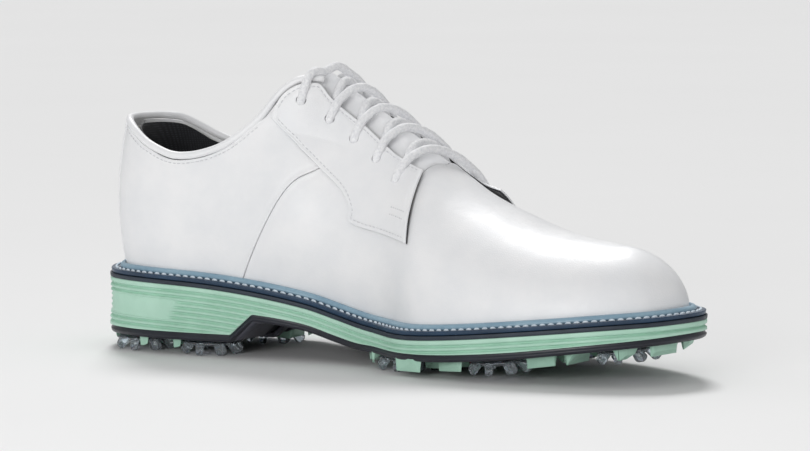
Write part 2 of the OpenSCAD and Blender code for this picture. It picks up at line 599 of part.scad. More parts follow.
// rear quarters, backstay and counter
quarter_lo = [[0, 0.4, 0], [0.2, 8, 0], [0.5, 36, 0], [1, seam_x - seam_gap, 0]];
quarter_hi = [[0, 0.4, heel_h - top_clear], [0.14, 12, heel_h - 2 - top_clear], [0.3, 30, 96 - top_clear],
    [0.45, 50, 91 - top_clear], [0.6, 73, 97 - top_clear], [0.72, 90, 110.5 - top_clear],
    [0.84, 106, 101], [1, seam_top[0] - seam_gap, seam_top[1]]];
module quarter(k) {
    color(white)
        patch(k, quarter_lo, quarter_hi, 20, 9, 0, skin_d, 1.1);
}
module medial_quarter() { quarter(-1); }
module lateral_quarter() { quarter(1); }
stay_lo = [[0, 0, 38.5], [1, 3.4, 38.5]];
stay_hi = [[0, 0, heel_h - top_clear], [1, 2.4, heel_h - top_clear - 0.5]];
module backstay() {
    color(white)
        sheet(stay_lo, stay_hi, 3, 9, overlay_d0 + 1.2, overlay_d0);
}
counter_lo = [[0, 0, 1], [0.3, 10, 1], [1, 82, 1]];
counter_hi = [[0, 0, 80], [0.3, 14, 78], [0.7, 45, 68], [1, 70, 55]];
module heel_counter() {
    color([0.8, 0.76, 0.66])
        sheet(counter_lo, counter_hi, 12, 6, stiff_d0, stiff_d1);
}
back_lo = [[0, 0, 0], [0.2, 8, 0], [0.45, 36, 0], [1, 126, 0]];
back_hi = [[0, 0, heel_h - top_clear], [0.12, 12, heel_h - 2 - top_clear], [0.25, 30, 96 - top_clear],
    [0.4, 50, 91 - top_clear], [0.58, 73, 97 - top_clear], [0.74, 92, 112.5 - top_clear],
    [0.88, 108, 117], [1, 126, 103]];
module quarter_lining() {
    color([0.16, 0.17, 0.19])
        sheet(back_lo, back_hi, 20, 9, lining_d0, lining_d1, 1, 1, 1);
}
pad_lo = [[0, 0, 83], [0.3, 16, 81], [0.6, 46, 72], [1, 84, 84]];
pad_hi = [[0, 0, heel_h - top_clear - 1], [0.2, 14, heel_h - 3.5 - top_clear], [0.5, 40, 91.5 - top_clear],
    [0.8, 68, 93 - top_clear], [1, 84, 101 - top_clear]];
module collar_padding() {
    color([0.75, 0.75, 0.7])
        sheet(pad_lo, pad_hi, 12, 4, stiff_d0, lining_d0 + fit, 1, 0, 1);
}

// facings: overlays with the eyelet rows and a folded tab at the front foot
facing_lo = [[0, 94.2, 106.8], [0.11, 101.5, 100.7], [0.22, 108.4, 94.5], [0.33, 115, 88.4],
    [0.44, 121.7, 82.6], [0.55, 128.6, 76.8], [0.62, 132.1, 72.6], [0.67, 134.6, 67.6], [0.71, 135.3, 62.8],
    [0.85, 151, 59], [1, 169.2, 55.8]];
facing_hi = [[0, 94.6, 110], [0.12, 97.5, 116.5], [0.22, 102.5, 121], [0.29, 107.5, 122.3], [0.36, 113, 120.5],
    [0.6, 132, 105], [0.82, 151, 92], [1, 165.8, 84.6]];
eyelet_skew = [[0, 8], [1, 19]];
facing_skew = [[0, 0], [0.12, 0], [0.29, 5], [0.36, 8.5], [0.6, 14], [0.8, 19], [1, 19]];
eyelet_x = [106.5, 154.6];
eyelet_z = [115, 81.9];
function eyelet(k, i) = let (t = i / (lace_rows - 1), x = mix(eyelet_x[0], eyelet_x[1], t))
    [station_of((x + (k > 0 ? lookup(t, eyelet_skew) : 0)) * kx),
        climb(k, station_of(x * kx), mix(eyelet_z[0], eyelet_z[1], t))];
function eye_at(k, i, d) = let (e = eyelet(k, i)) wall(k, e[0], e[1], d);
module facing(k) {
    color(white)
        difference() {
            patch(k, facing_lo, facing_hi, 30, 5, overlay_d1, overlay_d0, 0.9, facing_skew);
            for (i = [0:lace_rows - 1])
                let (a = eye_at(k, i, -1), v = unit(eye_at(k, i, 1) - a))
                    translate(a)
                        rotate([0, acos(v[2]), atan2(v[1], v[0])])
                            cylinder(d = lace_d + 1.2, h = 5, $fn = 16);
        }
}
module medial_facing() { facing(-1); }
module lateral_facing() { facing(1); }

// round cord along a list of points
module cord(p, d, n = 8) {
    last_p = len(p) - 1;
    rings = [for (i = [0:last_p]) let (t = unit(p[min(i + 1, last_p)] - p[max(i - 1, 0)]),
        h = abs(t[2]) > 0.9 ? [1, 0, 0] : [0, 0, 1], u = unit(cross(t, h)), v = cross(u, t))
        [for (a = [0:n - 1]) p[i] + (u * cos(a * 360 / n) + v * sin(a * 360 / n)) * d / 2]];
    polyhedron([for (r = rings) each r], concat(
        [[for (a = [n - 1:-1:0]) a]],
        [[for (a = [0:n - 1]) last_p * n + a]],
        [for (i = [0:last_p - 1], a = [0:n - 1]) for (t = quad(i * n + a, i * n + (a + 1) % n,
            (i + 1) * n + (a + 1) % n, (i + 1) * n + a)) t]));
}
function top_point(k, x) = let (s = station_of(x * kx), z = curve(collar_t, x) - binding_d / 2)
    wall(k, s, climb(k, s, z), -leather_t * 0.6);
module collar_binding() {
    color(white)
        cord(concat([for (x = [110, 104, 97, 90, 82, 73, 64, 55, 46, 37, 28, 19, 11, 5, 2]) top_point(-1, x)],
            [(top_point(1, 0.2) + top_point(-1, 0.2)) / 2],
            [for (x = [2, 5, 11, 19, 28, 37, 46, 55, 64, 73, 82, 90, 97, 104, 110]) top_point(1, x)]),
            binding_d);
}

// tongue: padded strip under the facings
tongue_lo = [[0, 104, 108], [0.5, 140, 78], [1, 182, 58]];
tongue_hi = [[0, 102, high], [0.5, 142, high], [1, 186, high]];
tongue_in = -6.6;
tongue_pad = 3.6;
tongue_swell = 1.6;
module tongue() {
    color(white)
        sheet(tongue_lo, tongue_hi, 14, 6, tongue_in, tongue_in - tongue_pad, tongue = true);
}
module tongue_lining() {
    color([0.16, 0.17, 0.19])
        sheet(tongue_lo, tongue_hi, 14, 6, tongue_in - tongue_pad - fit,
            tongue_in - tongue_pad - fit - lining_t, tongue = true);
}

// lace: one cord, in bars over the tongue joined by runs under the facings
lace_over = overlay_d1 + lace_d / 2 + 0.3;
lace_under = overlay_d0 - lace_d / 2 - 0.2;
// point between inner eyelet i at t = 0 and outer eyelet j at t = 1, passing over the ridge
function across(i, j, t, d) = let (p = eyelet(-1, i), q = eyelet(1, j), k = t < 0.5 ? -1 : 1,
    s = mix(p[0], q[0], t), a = min(t < 0.5 ? mix(p[1], 90, 2 * t) : mix(90, q[1], 2 * t - 1), 89.9))
    mix(wall(k, s, a, d), wall(k, s, a, d, true), ramp(a, 56, 78));
function bar(i) = concat(
    [eye_at(1, i, lace_under), eye_at(1, i, overlay_d0), eye_at(1, i, lace_over)],
    [for (t = [0.86, 0.72, 0.58, 0.42, 0.28, 0.14]) across(i, i, t, lace_over)],
    [eye_at(-1, i, lace_over), eye_at(-1, i, overlay_d0), eye_at(-1, i, lace_under)]);
function under_run(i) = i == 0 ? [] : [for (t = [0.2:0.15:0.8]) across(i, i - 1, t, lace_under)];
module lace() {
    color(white)
        cord([for (i = [lace_rows - 1:-1:0]) each concat(bar(i), under_run(i))], lace_d);
}
// stiff lace tips, tucked under the facings beside the end eyelets
aglet_d = 2.3;
function beside(k, i, d) = let (e = eyelet(k, floor(i)), f = eyelet(k, ceil(i)), t = i - floor(i))
    wall(k, mix(e[0], f[0], t), mix(e[1], f[1], t), d);
module aglets() {
    color([0.8, 0.82, 0.85])
        for (tip = [[1, lace_rows - 2.25, lace_rows - 2.7], [-1, 0.25, 0.7]])
            cord([beside(tip[0], tip[1], lace_under), beside(tip[0], tip[2], lace_under)], aglet_d, 10);
}

module placed() {
    translate([-origin_x, -origin_y, 0])
        children();
}

placed() outsole();
placed() forefoot_lugs();
placed() heel_lugs();
placed() arch_bridge();
placed() badge_bezel();
placed() badge_window();
placed() heel_breast_pads();
placed() spike_receptacles();
placed() midsole();
placed() welt_edge();
placed() welt();
placed() welt_stitching();
placed() rand();
placed() shank();
placed() insole_board();
placed() sock_liner();
placed() vamp();
placed() medial_quarter();
placed() lateral_quarter();
placed() medial_facing();
placed() lateral_facing();
placed() backstay();
placed() collar_binding();
placed() vamp_lining();
placed() quarter_lining();
placed() collar_padding();
placed() heel_counter();
placed() toe_puff();
placed() tongue();
placed() tongue_lining();
placed() lace();
placed() aglets();
placed() spike_1();
placed() spike_2();
placed() spike_3();
placed() spike_4();
placed() spike_5();
placed() spike_6();
placed() spike_7();
placed() spike_8();
placed() spike_9();
placed() core_1();
placed() core_2();
placed() core_3();
placed() core_4();
placed() core_5();
placed() core_6();
placed() core_7();
placed() core_8();
placed() core_9();
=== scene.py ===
import math
import bpy
import bmesh
import numpy as np
from mathutils import Matrix, Vector


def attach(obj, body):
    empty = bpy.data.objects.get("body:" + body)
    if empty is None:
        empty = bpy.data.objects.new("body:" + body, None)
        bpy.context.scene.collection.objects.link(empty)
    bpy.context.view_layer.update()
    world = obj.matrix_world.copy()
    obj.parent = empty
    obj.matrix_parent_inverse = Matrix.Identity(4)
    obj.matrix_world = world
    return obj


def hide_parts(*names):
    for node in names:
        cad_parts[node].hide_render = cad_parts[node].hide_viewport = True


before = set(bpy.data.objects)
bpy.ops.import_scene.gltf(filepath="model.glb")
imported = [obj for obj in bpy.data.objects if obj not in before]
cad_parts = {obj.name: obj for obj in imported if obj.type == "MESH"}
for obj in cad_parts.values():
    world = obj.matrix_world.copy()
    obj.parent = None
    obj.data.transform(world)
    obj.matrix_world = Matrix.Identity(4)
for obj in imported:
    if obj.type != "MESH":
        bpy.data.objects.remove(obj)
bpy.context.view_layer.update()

# ---------------------------------------------------------------- shape rules
# Everything below is in millimetres from the back of the sole edge, as in the design,
# and place() turns it into the frame's metres.
SOLE_LEN = 300.0
ORIGIN = np.array([SOLE_LEN / 2, -3.066, 0.0])
STATIONS = np.array([0, 3, 14, 35, 65, 97, 126, 151, 178, 207, 240, 268, 290, 300], float)
OUTER_Y = np.array([-4, 16, 32, 40.5, 42.2, 41.8, 45, 52.2, 54.4, 52.2, 43.8, 31.3, 14, -9], float)
INNER_Y = np.array([-4, -18, -33.5, -41.5, -41.3, -37.5, -33.2, -38.8, -56, -60.6, -57, -49.4, -35, -9],
                   float)
LAST = len(STATIONS) - 1
MID_TOP = [(0, 32.5), (40, 32), (70, 30.6), (95, 27.7), (115, 24), (131, 19.9), (147, 16.8), (165, 15.9),
           (185, 16.4), (210, 18.4), (240, 21.4), (270, 24.4), (300, 26.8)]
ARCH = [(91, 17), (103, 15.8), (116, 13.6), (130, 9.8), (143, 7.3), (156, 7), (172, 7), (190, 7.4),
        (210, 8.7), (235, 11.1), (262, 14.5), (300, 19)]
HEEL_Z = 7.0
BREAST_X, BREAST_RUN = 80.0, 11.0
PLATE_T, EDGE_T, WELT_T = 2.4, 2.0, 2.0
FEATHER_IN = 8.0
HEEL_H = 106.0
RIDGE = [(0, 190), (60, 170), (90, 158), (105, 146), (117, 125.5), (137, 110.5), (157, 96.5), (172, 86),
         (185, 77.5), (202, 70), (229, 61), (255, 57.3), (262, 56.8), (300, 56)]
TONGUE_RIDGE = [(90, 130), (100, 131), (106, 129.5), (112, 126), (117, 122.5), (137, 109.5), (157, 96.5),
                (172, 86), (190, 75)]
LEAN = [(0, 12), (14, 8), (35, 3), (65, 0), (200, 0), (240, -5), (268, -14), (290, -30), (300, -38.5)]
MIDDLE = [(0, -4), (40, 0), (100, 2), (150, 0), (200, -3), (250, -7), (300, -9)]
ROUNDNESS = [(0, 2), (120, 2), (160, 2.1), (220, 2.2), (270, 2.05), (300, 1.9)]
BELLY_IN = [(0, 4), (40, 2), (80, 2), (115, 5), (150, 3), (190, 0), (300, 0)]
BELLY_OUT = [(0, 4), (40, 2), (90, 1), (150, 0.5), (190, 0), (300, 0)]
COLLAR = [(0, HEEL_H), (12, HEEL_H - 2), (30, 96), (50, 91), (73, 97), (90, 111), (95, 118.5), (100.5, 124),
          (106, 126.5), (112, 126.3)]
SPIKES = [(170, 35, 0), (224.5, 22.5, 5), (270, -20, 7.5), (218, -39, 4), (167.5, -29.5, 0),
          (27.5, 19.5, 0), (63.5, 27, 0), (26, -23, 0), (62, -24.5, 0)]
OUTER, INNER = 1, -1
HIGH = 400.0


def place(points):
    return (np.asarray(points, float) - ORIGIN) * 0.001


def curve(table, x):
    """Smooth curve through a few (position, value) pairs."""
    t = np.asarray(table, float)
    xs, ys = t[:, 0], t[:, 1]
    x = np.asarray(x, float)
    i = np.clip(np.searchsorted(xs, x, side="right") - 1, 0, len(xs) - 2)
    lo, hi = np.maximum(np.arange(len(xs)) - 1, 0), np.minimum(np.arange(len(xs)) + 1, len(xs) - 1)
    m = (ys[hi] - ys[lo]) / (xs[hi] - xs[lo])
    h = xs[i + 1] - xs[i]
    u = np.clip((x - xs[i]) / h, 0, 1)
    d = ys[i + 1] - ys[i]
    m0, m1 = m[i] * h, m[i + 1] * h
    return ys[i] + u * (m0 + u * (3 * d - 2 * m0 - m1 + u * (m0 + m1 - 2 * d)))


def mix(a, b, t):
    return a + (b - a) * t


def ramp(x, a, b):
    u = np.clip((np.asarray(x, float) - a) / (b - a), 0, 1)
    return u * u * (3 - 2 * u)


def side_points(k):
    """Control points of one side, with one more from the other side at each end."""
    y, z = (OUTER_Y, INNER_Y) if k == OUTER else (INNER_Y, OUTER_Y)
    xs = np.concatenate([[STATIONS[1]], STATIONS, [STATIONS[-2]]])
    ys = np.concatenate([[z[1]], y, [z[-2]]])
    return np.stack([xs, ys], -1)


def edge(k, s, slope=False):
    """Point on the sole edge, or its direction, at station s from 0 (heel) to 1 (toe)."""
    s = np.asarray(s, float)
    t = s * LAST
    i = np.minimum(np.floor(t).astype(int), LAST - 1)
    u = (t - i)[..., None]
    p = side_points(k)
    a, b, c, d = p[i], p[i + 1], p[i + 2], p[i + 3]
    if slope:
        return (c - a) / 2 + u * (2 * a - 5 * b + 4 * c - d + u * (4.5 * (b - c) + 1.5 * (d - a)))
    return b + u * ((c - a) / 2 + u * (a - 2.5 * b + 2 * c - d / 2 + u * (1.5 * (b - c) + (d - a) / 2)))


def edge_normal(k, s):
    d = edge(k, s, slope=True)
    return np.stack([-d[..., 1], d[..., 0]], -1) * k / np.linalg.norm(d, axis=-1, keepdims=True)


def inset(k, s, amount):
    return edge(k, s) - edge_normal(k, s) * np.asarray(amount, float)[..., None]


def station_of(x):
    s = np.linspace(0, 1, 4001)
    return np.interp(x, edge(OUTER, s)[:, 0], s)


def mid_top(x):
    return curve(MID_TOP, x)


def out_bot(x):
    x = np.asarray(x, float)
    slope = mix(HEEL_Z, ARCH[0][1], np.clip((x - BREAST_X) / BREAST_RUN, 0, 1))
    return np.where(x < BREAST_X + BREAST_RUN, slope, curve(ARCH, x))


def out_top(x):
    return out_bot(x) + PLATE_T + np.where(np.asarray(x) < BREAST_X, 1.2, 0.8)


def foot_z(x):
    return mid_top(x) + EDGE_T + WELT_T + 0.1


def dome(k, s, a, tongue=False):
    """Outer face of the upper: station s along the side, a degrees up from the welt to the ridge."""
    s, a = np.broadcast_arrays(np.asarray(s, float), np.asarray(a, float))
    u = edge(k, s)[..., 0]
    p = inset(k, s, np.full(s.shape, FEATHER_IN))
    x1 = u + curve(LEAN, u)
    n = curve(ROUNDNESS, u)
    c = np.maximum(np.cos(np.radians(a)), 1e-12) ** (2 / n)
    c = np.where(a >= 90, 0, c)
    v = np.maximum(np.sin(np.radians(a)), 0) ** (2 / n)
    mid, z0 = curve(MIDDLE, u), foot_z(p[..., 0])
    top = curve(TONGUE_RIDGE, u) if tongue else curve(RIDGE, x1)
    q = edge_normal(k, s)
    t = np.minimum(v * (top - z0) / 70, 1)
    belly = curve(BELLY_OUT if k == OUTER else BELLY_IN, u) * np.sin(np.pi * t) * c
    return np.stack([mix(x1, p[..., 0], c) + q[..., 0] * belly,
                     mid + k * np.abs(p[..., 1] - mid) * c + q[..., 1] * belly,
                     z0 + v * (top - z0)], -1)


def unit(v):
    return v / np.maximum(np.linalg.norm(v, axis=-1, keepdims=True), 1e-12)


def outward(k, s, a, tongue=False):
    """Outward direction of dome(), made the same for both sides where they meet."""
    s, a = np.broadcast_arrays(np.asarray(s, float), np.asarray(a, float))
    b = np.minimum(a, 82)
    da = dome(k, s, b + 2, tongue) - dome(k, s, np.maximum(b - 2, 0), tongue)

    def run(c):
        return dome(k, np.minimum(s + 0.006, 1), c, tongue) - dome(k, np.maximum(s - 0.006, 0), c, tongue)
    ds = run(b)
    ds = np.where((s <= 0)[..., None], [0, k, 0], ds)
    ds = np.where((s >= 1)[..., None], [0, -k, 0], ds)
    o = unit(np.cross(da, ds)) * k
    r = run(a)
    ridge = unit(np.stack([-r[..., 2], 0 * r[..., 0], r[..., 0]], -1))
    near = ramp(a, 82, 90)[..., None]
    o = unit(o * (1 - near) + ridge * near)
    return np.where((a >= 90)[..., None], ridge, o)


def wall(k, s, a, d, tongue=False):
    return dome(k, s, a, tongue) + outward(k, s, a, tongue) * np.asarray(d, float)[..., None]


def climb(k, s, z):
    u = edge(k, s)[..., 0]
    z0 = foot_z(inset(k, s, np.full(np.shape(s), FEATHER_IN))[..., 0])
    part = np.clip((z - z0) / (curve(RIDGE, u + curve(LEAN, u)) - z0), 0, 1)
    return np.degrees(np.arcsin(part ** (curve(ROUNDNESS, u) / 2)))


def line(k, points, skew=None):
    """[way along, x, z] points turned into [way along, station, climb]; skew lists how far the outer
    side lies ahead of the inner side at some ways along."""
    p = np.asarray(points, float)
    s = np.where(p[:, 1] <= 0, 0, np.where(p[:, 1] >= SOLE_LEN, 1, station_of(p[:, 1])))
    a = climb(k, s, p[:, 2])
    if skew and k == OUTER:
        ahead = np.interp(p[:, 0], *np.transpose(skew))
        s = np.where(ahead > 0, station_of(p[:, 1] + ahead), s)
    return np.stack([p[:, 0], s, a], -1)


def read(l, a):
    return curve(l[:, :2], a), np.minimum(curve(l[:, [0, 2]], a), 90)


# ---------------------------------------------------------------- mesh helpers
def mesh_object(name, verts, faces, material, body="shoe", smooth=True, weld=0.0):
    """Makes a mesh from millimetre points, with outward normals, riding a CAD body."""
    me = bpy.data.meshes.new(name)
    me.from_pydata(place(verts).tolist(), [], [tuple(int(i) for i in f) for f in faces])
    obj = bpy.data.objects.new(name, finish_mesh(me, weld, smooth, material))
    bpy.context.scene.collection.objects.link(obj)
    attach(obj, body)
    return obj


def grid_faces(n, m, base=0):
    return [(base + i * m + j, base + (i + 1) * m + j, base + (i + 1) * m + j + 1, base + i * m + j + 1)
            for i in range(n - 1) for j in range(m - 1)]


def loft_faces(n, m, closed=False):
    """Faces of n rings of m points each; closed joins the last ring to the first."""
    return [(i * m + j, (i + 1) % n * m + j, (i + 1) % n * m + (j + 1) % m, i * m + (j + 1) % m)
            for i in range(n if closed else n - 1) for j in range(m)]


def end_faces(n, m):
    return [tuple(range(m))[::-1], tuple(range((n - 1) * m, n * m))]


def lengths(points):
    """Distance run along a path at each of its points."""
    return np.concatenate([[0], np.cumsum(np.linalg.norm(np.diff(points, axis=0), axis=1))])


def resample(at, run, points):
    return np.stack([np.interp(at, run, points[:, i]) for i in range(3)], -1)


def finish_mesh(me, weld, smooth, material):
    """Joins doubled points, turns the faces outward and gives the mesh its material."""
    bm = bmesh.new()
    bm.from_mesh(me)
    if weld:
        bmesh.ops.remove_doubles(bm, verts=bm.verts, dist=weld * 0.001)
    bmesh.ops.recalc_face_normals(bm, faces=bm.faces)
    bm.to_mesh(me)
    bm.free()
    me.shade_smooth() if smooth else me.shade_flat()
    me.materials.append(material)
    return me


def finish_piece(node, slot_name):
    """The piece takes the place of a CAD node, which is hidden."""
    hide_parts(node)


def spaced(length, count, fine=(0.0, 0.18, 0.5, 1.0, 1.7, 2.6)):
    """Positions from 0 to 1, close together near both ends, for rounded edges."""
    f = np.array(fine) / length
    inner = np.linspace(f[-1], 1 - f[-1], count)[1:-1]
    return np.concatenate([f, inner, 1 - f[::-1]])


def half_sheet(k, lo, hi, ua, ub, depth, warp, tongue, edge_r, ends, skew):
    """Outer and inner point grids of one half of a leather piece."""
    (ps, pa), (qs, qa) = read(line(k, lo, skew), ua), read(line(k, hi, skew), ua)
    qs = np.where(qa >= 90, read(line(INNER, hi), ua)[0], qs)
    s = mix(ps[:, None], qs[:, None], ub[None, :] ** warp)
    a = mix(pa[:, None], qa[:, None], ub[None, :])
    skin = dome(k, s, a, tongue)
    normal = outward(k, s, a, tongue)
    d_out, d_in = depth(k, s, a)
    step_b = np.linalg.norm(np.diff(skin, axis=1), axis=-1)
    up = np.concatenate([np.zeros((len(ua), 1)), np.cumsum(step_b, 1)], 1)
    step_a = np.linalg.norm(np.diff(skin, axis=0), axis=-1)
    along = np.concatenate([np.zeros((1, len(ub))), np.cumsum(step_a, 0)], 0)
    met = qa >= 90
    dist = np.where(met[:, None], 1e3, up[:, -1:] - up)
    if ends[0]:
        dist = np.minimum(dist, along)
    if ends[1]:
        dist = np.minimum(dist, along[-1:] - along)
    if ends[2]:
        dist = np.minimum(dist, up)
    gap = np.clip(edge_r - dist, 0, edge_r)
    drop = edge_r - np.sqrt(np.maximum(edge_r ** 2 - gap ** 2, 0))
    sink = 0.22 * np.exp(-((dist - 2.3) / 0.7) ** 2)
    drop = np.minimum(drop, (d_out - d_in) * 0.85)
    return skin + normal * (d_out - drop - sink)[..., None], skin + normal * d_in[..., None], met


def sheet(name, material, lo, hi, depth, na=60, nb=30, warp=1.0, sides=(OUTER, INNER), tongue=False,
          edge_r=0.9, ends=(True, True, True), body="shoe", skew=None):
    """A leather piece with thickness and rounded edges, in one half or both halves joined at the ridge."""
    joined = len(sides) == 2
    ua, ub = spaced(150, na), spaced(70, nb)
    n, m = len(ua), len(ub)
    verts, faces = [], []
    first, final = lo[0][1] <= 0, lo[-1][1] >= SOLE_LEN
    ends = (ends[0] and not first, ends[1] and not final, ends[2])
    for k in sides:
        out, inn, met = half_sheet(k, lo, hi, ua, ub, depth, warp, tongue, edge_r, ends, skew)
        base = len(verts)
        o = base + n * m
        verts += list(out.reshape(-1, 3)) + list(inn.reshape(-1, 3))
        faces += grid_faces(n, m, base) + grid_faces(n, m, o)
        faces += [(base + i * m, base + (i + 1) * m, o + (i + 1) * m, o + i * m) for i in range(n - 1)]
        b, c = base + m - 1, o + m - 1
        faces += [(b + i * m, b + (i + 1) * m, c + (i + 1) * m, c + i * m)
                  for i in range(n - 1) if not (joined and met[i] and met[i + 1])]
        for i, shared in ((0, first), (n - 1, final)):
            if not (joined and shared):
                faces += [(base + i * m + j, base + i * m + j + 1, o + i * m + j + 1, o + i * m + j)
                          for j in range(m - 1)]
    return mesh_object(name, np.array(verts), faces, material, body, weld=0.004 if joined else 0)


def soft_noise(p, scale, seed=0):
    """Smooth wavy values for a point array, from a few crossed sine waves."""
    r = np.random.default_rng(seed)
    total = np.zeros(p.shape[:-1])
    for _ in range(7):
        w = unit(r.normal(size=3)) * r.uniform(0.6, 1.6) * 2 * np.pi / scale
        total += np.sin(p @ w + r.uniform(0, 6.28))
    return total / 7


def stations(count):
    """Stations from heel to toe at nearly even steps of length."""
    s = np.linspace(0, 1, 2001)
    step = sum(np.linalg.norm(np.diff(edge(k, s), axis=0), axis=1) for k in (OUTER, INNER))
    run = np.concatenate([[0], np.cumsum(step)])
    return np.interp(np.linspace(0, run[-1], count), run, s)


def rim(k, s, depth, z):
    """Points at an inset and height per station and profile place; z may be a function of x."""
    p = edge(k, s)[:, None, :] - edge_normal(k, s)[:, None, :] * depth[..., None]
    height = z(p[..., 0]) if callable(z) else z
    return np.concatenate([p, height[..., None]], -1)


def hoop(name, material, profile, base, count=260, weld=0.0, wave=None):
    """A closed ring round the sole; profile lists (inset, height over base) corners."""
    prof = np.array(profile, float)
    grids = []
    for k in (OUTER, INNER):
        s = stations(count)
        s = s[:-1] if k == OUTER else s[:0:-1]
        depth = np.repeat(prof[None, :, 0], len(s), 0)
        if wave is not None:
            depth = depth + wave(k, s)[:, None]
        grids.append(rim(k, s, depth, lambda x: base(x) + prof[None, :, 1]))
    g = np.concatenate(grids)
    return mesh_object(name, g.reshape(-1, 3), loft_faces(*g.shape[:2], closed=True), material, weld=weld)


def slab(name, material, side, count=200, across=2, bottom=None, top=None, body="shoe"):
    """A solid between both sides of the sole. side(k, s) gives the points from lower to upper rim;
    bottom and top change the heights of the two closing faces."""
    s = stations(count)
    a, b = side(OUTER, s), side(INNER, s)
    t = np.linspace(0, 1, across + 1)[1:-1]
    over = mix(a[:, -1:], b[:, -1:], t[None, :, None]) if across > 1 else a[:, :0]
    under = mix(b[:, :1], a[:, :1], t[None, :, None]) if across > 1 else a[:, :0]
    if top is not None:
        over[..., 2] = top(over[..., 0], over[..., 1])
    if bottom is not None:
        under[..., 2] = bottom(under[..., 0], under[..., 1])
    g = np.concatenate([a, over, b[:, ::-1], under], 1)
    return mesh_object(name, g.reshape(-1, 3), loft_faces(*g.shape[:2]), material, body=body, weld=0.003)


def fillet(points, radius=0.4, steps=3):
    """Rounds the corners of a closed profile."""
    p = np.array(points, float)
    out = []
    n = len(p)
    for i in range(n):
        a, b, c = p[i - 1], p[i], p[(i + 1) % n]
        r = min(radius, 0.45 * np.linalg.norm(a - b), 0.45 * np.linalg.norm(c - b))
        start, end = b + unit(a - b) * r, b + unit(c - b) * r
        for t in np.linspace(0, 1, steps + 1):
            out.append((1 - t) ** 2 * start + 2 * t * (1 - t) * b + t * t * end)
    return np.array(out)


def smooth_path(points, step=0.7):
    """Even points along a smooth curve through the given ones."""
    p = np.array(points, float)
    q = np.concatenate([2 * p[:1] - p[1:2], p, 2 * p[-1:] - p[-2:-1]])
    out = []
    for i in range(1, len(q) - 2):
        a, b, c, d = q[i - 1], q[i], q[i + 1], q[i + 2]
        for t in np.linspace(0, 1, 16, endpoint=False):
            bend = a - 2.5 * b + 2 * c - d / 2 + t * (1.5 * (b - c) + (d - a) / 2)
            out.append(b + t * ((c - a) / 2 + t * bend))
    out.append(q[-2])
    out = np.array(out)
    run = lengths(out)
    count = max(int(run[-1] / step), 4)
    return resample(np.linspace(0, run[-1], count + 1), run, out)


def frames(p):
    """Directions along and across a path that turn as little as possible."""
    t = unit(np.gradient(p, axis=0))
    u = np.zeros_like(p)
    first = np.array([0.0, 0.0, 1.0]) if abs(t[0][2]) < 0.9 else np.array([1.0, 0.0, 0.0])
    u[0] = unit(np.cross(t[0], first))
    for i in range(1, len(p)):
        u[i] = unit(u[i - 1] - t[i] * (u[i - 1] @ t[i]))
    return u, np.cross(t, u)


def tube(name, material, path, radius, sides=16, braid=0.0, pitch=4.2, step=0.7, strands=4):
    """Round cord along a path; braid raises crossing strands on it."""
    p = smooth_path(path, step)
    u, v = frames(p)
    run = lengths(p)
    a = np.linspace(0, 2 * np.pi, sides, endpoint=False)
    turn = 2 * np.pi * run / pitch
    left = np.cos(strands * a[None, :] + turn[:, None])
    right = np.cos(strands * a[None, :] - turn[:, None])
    close = np.minimum(np.minimum(run, run[-1] - run) / radius, 1)
    taper = np.sqrt(np.maximum(1 - (1 - close) ** 2, 0.02))[:, None]
    r = radius * taper * (1 + braid * np.maximum(left, right))
    ring = u[:, None] * np.cos(a)[None, :, None] + v[:, None] * np.sin(a)[None, :, None]
    g = p[:, None] + ring * r[..., None]
    faces = loft_faces(*g.shape[:2]) + end_faces(*g.shape[:2])
    return mesh_object(name, g.reshape(-1, 3), faces, material)


def stitch_row(points, normals, pitch, length, radius, sink=0.25, slant=0.0):
    """Vertices and faces of small rounded stitches lying along a surface line."""
    run = lengths(points)
    count = max(int(run[-1] / pitch), 1)
    at = (np.arange(count) + 0.5) * run[-1] / count
    p = resample(at, run, points)
    n = unit(resample(at, run, normals))
    d = unit(resample(at + 0.3, run, points) - resample(at - 0.3, run, points))
    d = unit(d + unit(np.cross(n, d)) * slant)
    w = np.cross(n, d)
    rows, sides = 6, 7
    verts, faces = [], []
    for c in range(count):
        base = len(verts)
        for i in range(rows):
            x = math.cos(math.pi * (i + 0.35) / (rows - 0.3))
            r = radius * math.sqrt(max(1 - x ** 4, 0.05))
            lift = radius * (1 - 0.5 * x * x) - sink
            for j in range(sides):
                a = 2 * math.pi * j / sides
                out = (w[c] * math.cos(a) + n[c] * math.sin(a)) * r
                verts.append(p[c] - d[c] * x * length / 2 + out + n[c] * lift)
        faces += [tuple(base + i for i in f) for f in loft_faces(rows, sides) + end_faces(rows, sides)]
    return verts, faces


def stitches(name, material, rows):
    """One piece from several stitch rows."""
    verts, faces = [], []
    for v, f in rows:
        base = len(verts)
        verts += v
        faces += [tuple(i + base for i in t) for t in f]
    return mesh_object(name, np.array(verts), faces, material)


def along(k, l, count=160, depth=None, skew=None):
    """Points and normals on the upper along a [way, x, z] line, at the outer face of a depth rule."""
    s, a = read(line(k, l, skew), np.linspace(0, 1, count))
    return wall(k, s, a, depth(k, s, a)[0]), outward(k, s, a)


def shifted(points, normals, amount):
    """Moves a surface line sideways within its surface."""
    d = unit(np.gradient(points, axis=0))
    return points + unit(np.cross(normals, d)) * amount


# ---------------------------------------------------------------- materials
def rgb(r, g, b):
    """Screen colour in 0 to 255 as the linear colour a shader wants."""
    c = np.array([r, g, b]) / 255
    c = np.where(c <= 0.04045, c / 12.92, ((c + 0.055) / 1.055) ** 2.4)
    return (float(c[0]), float(c[1]), float(c[2]), 1.0)


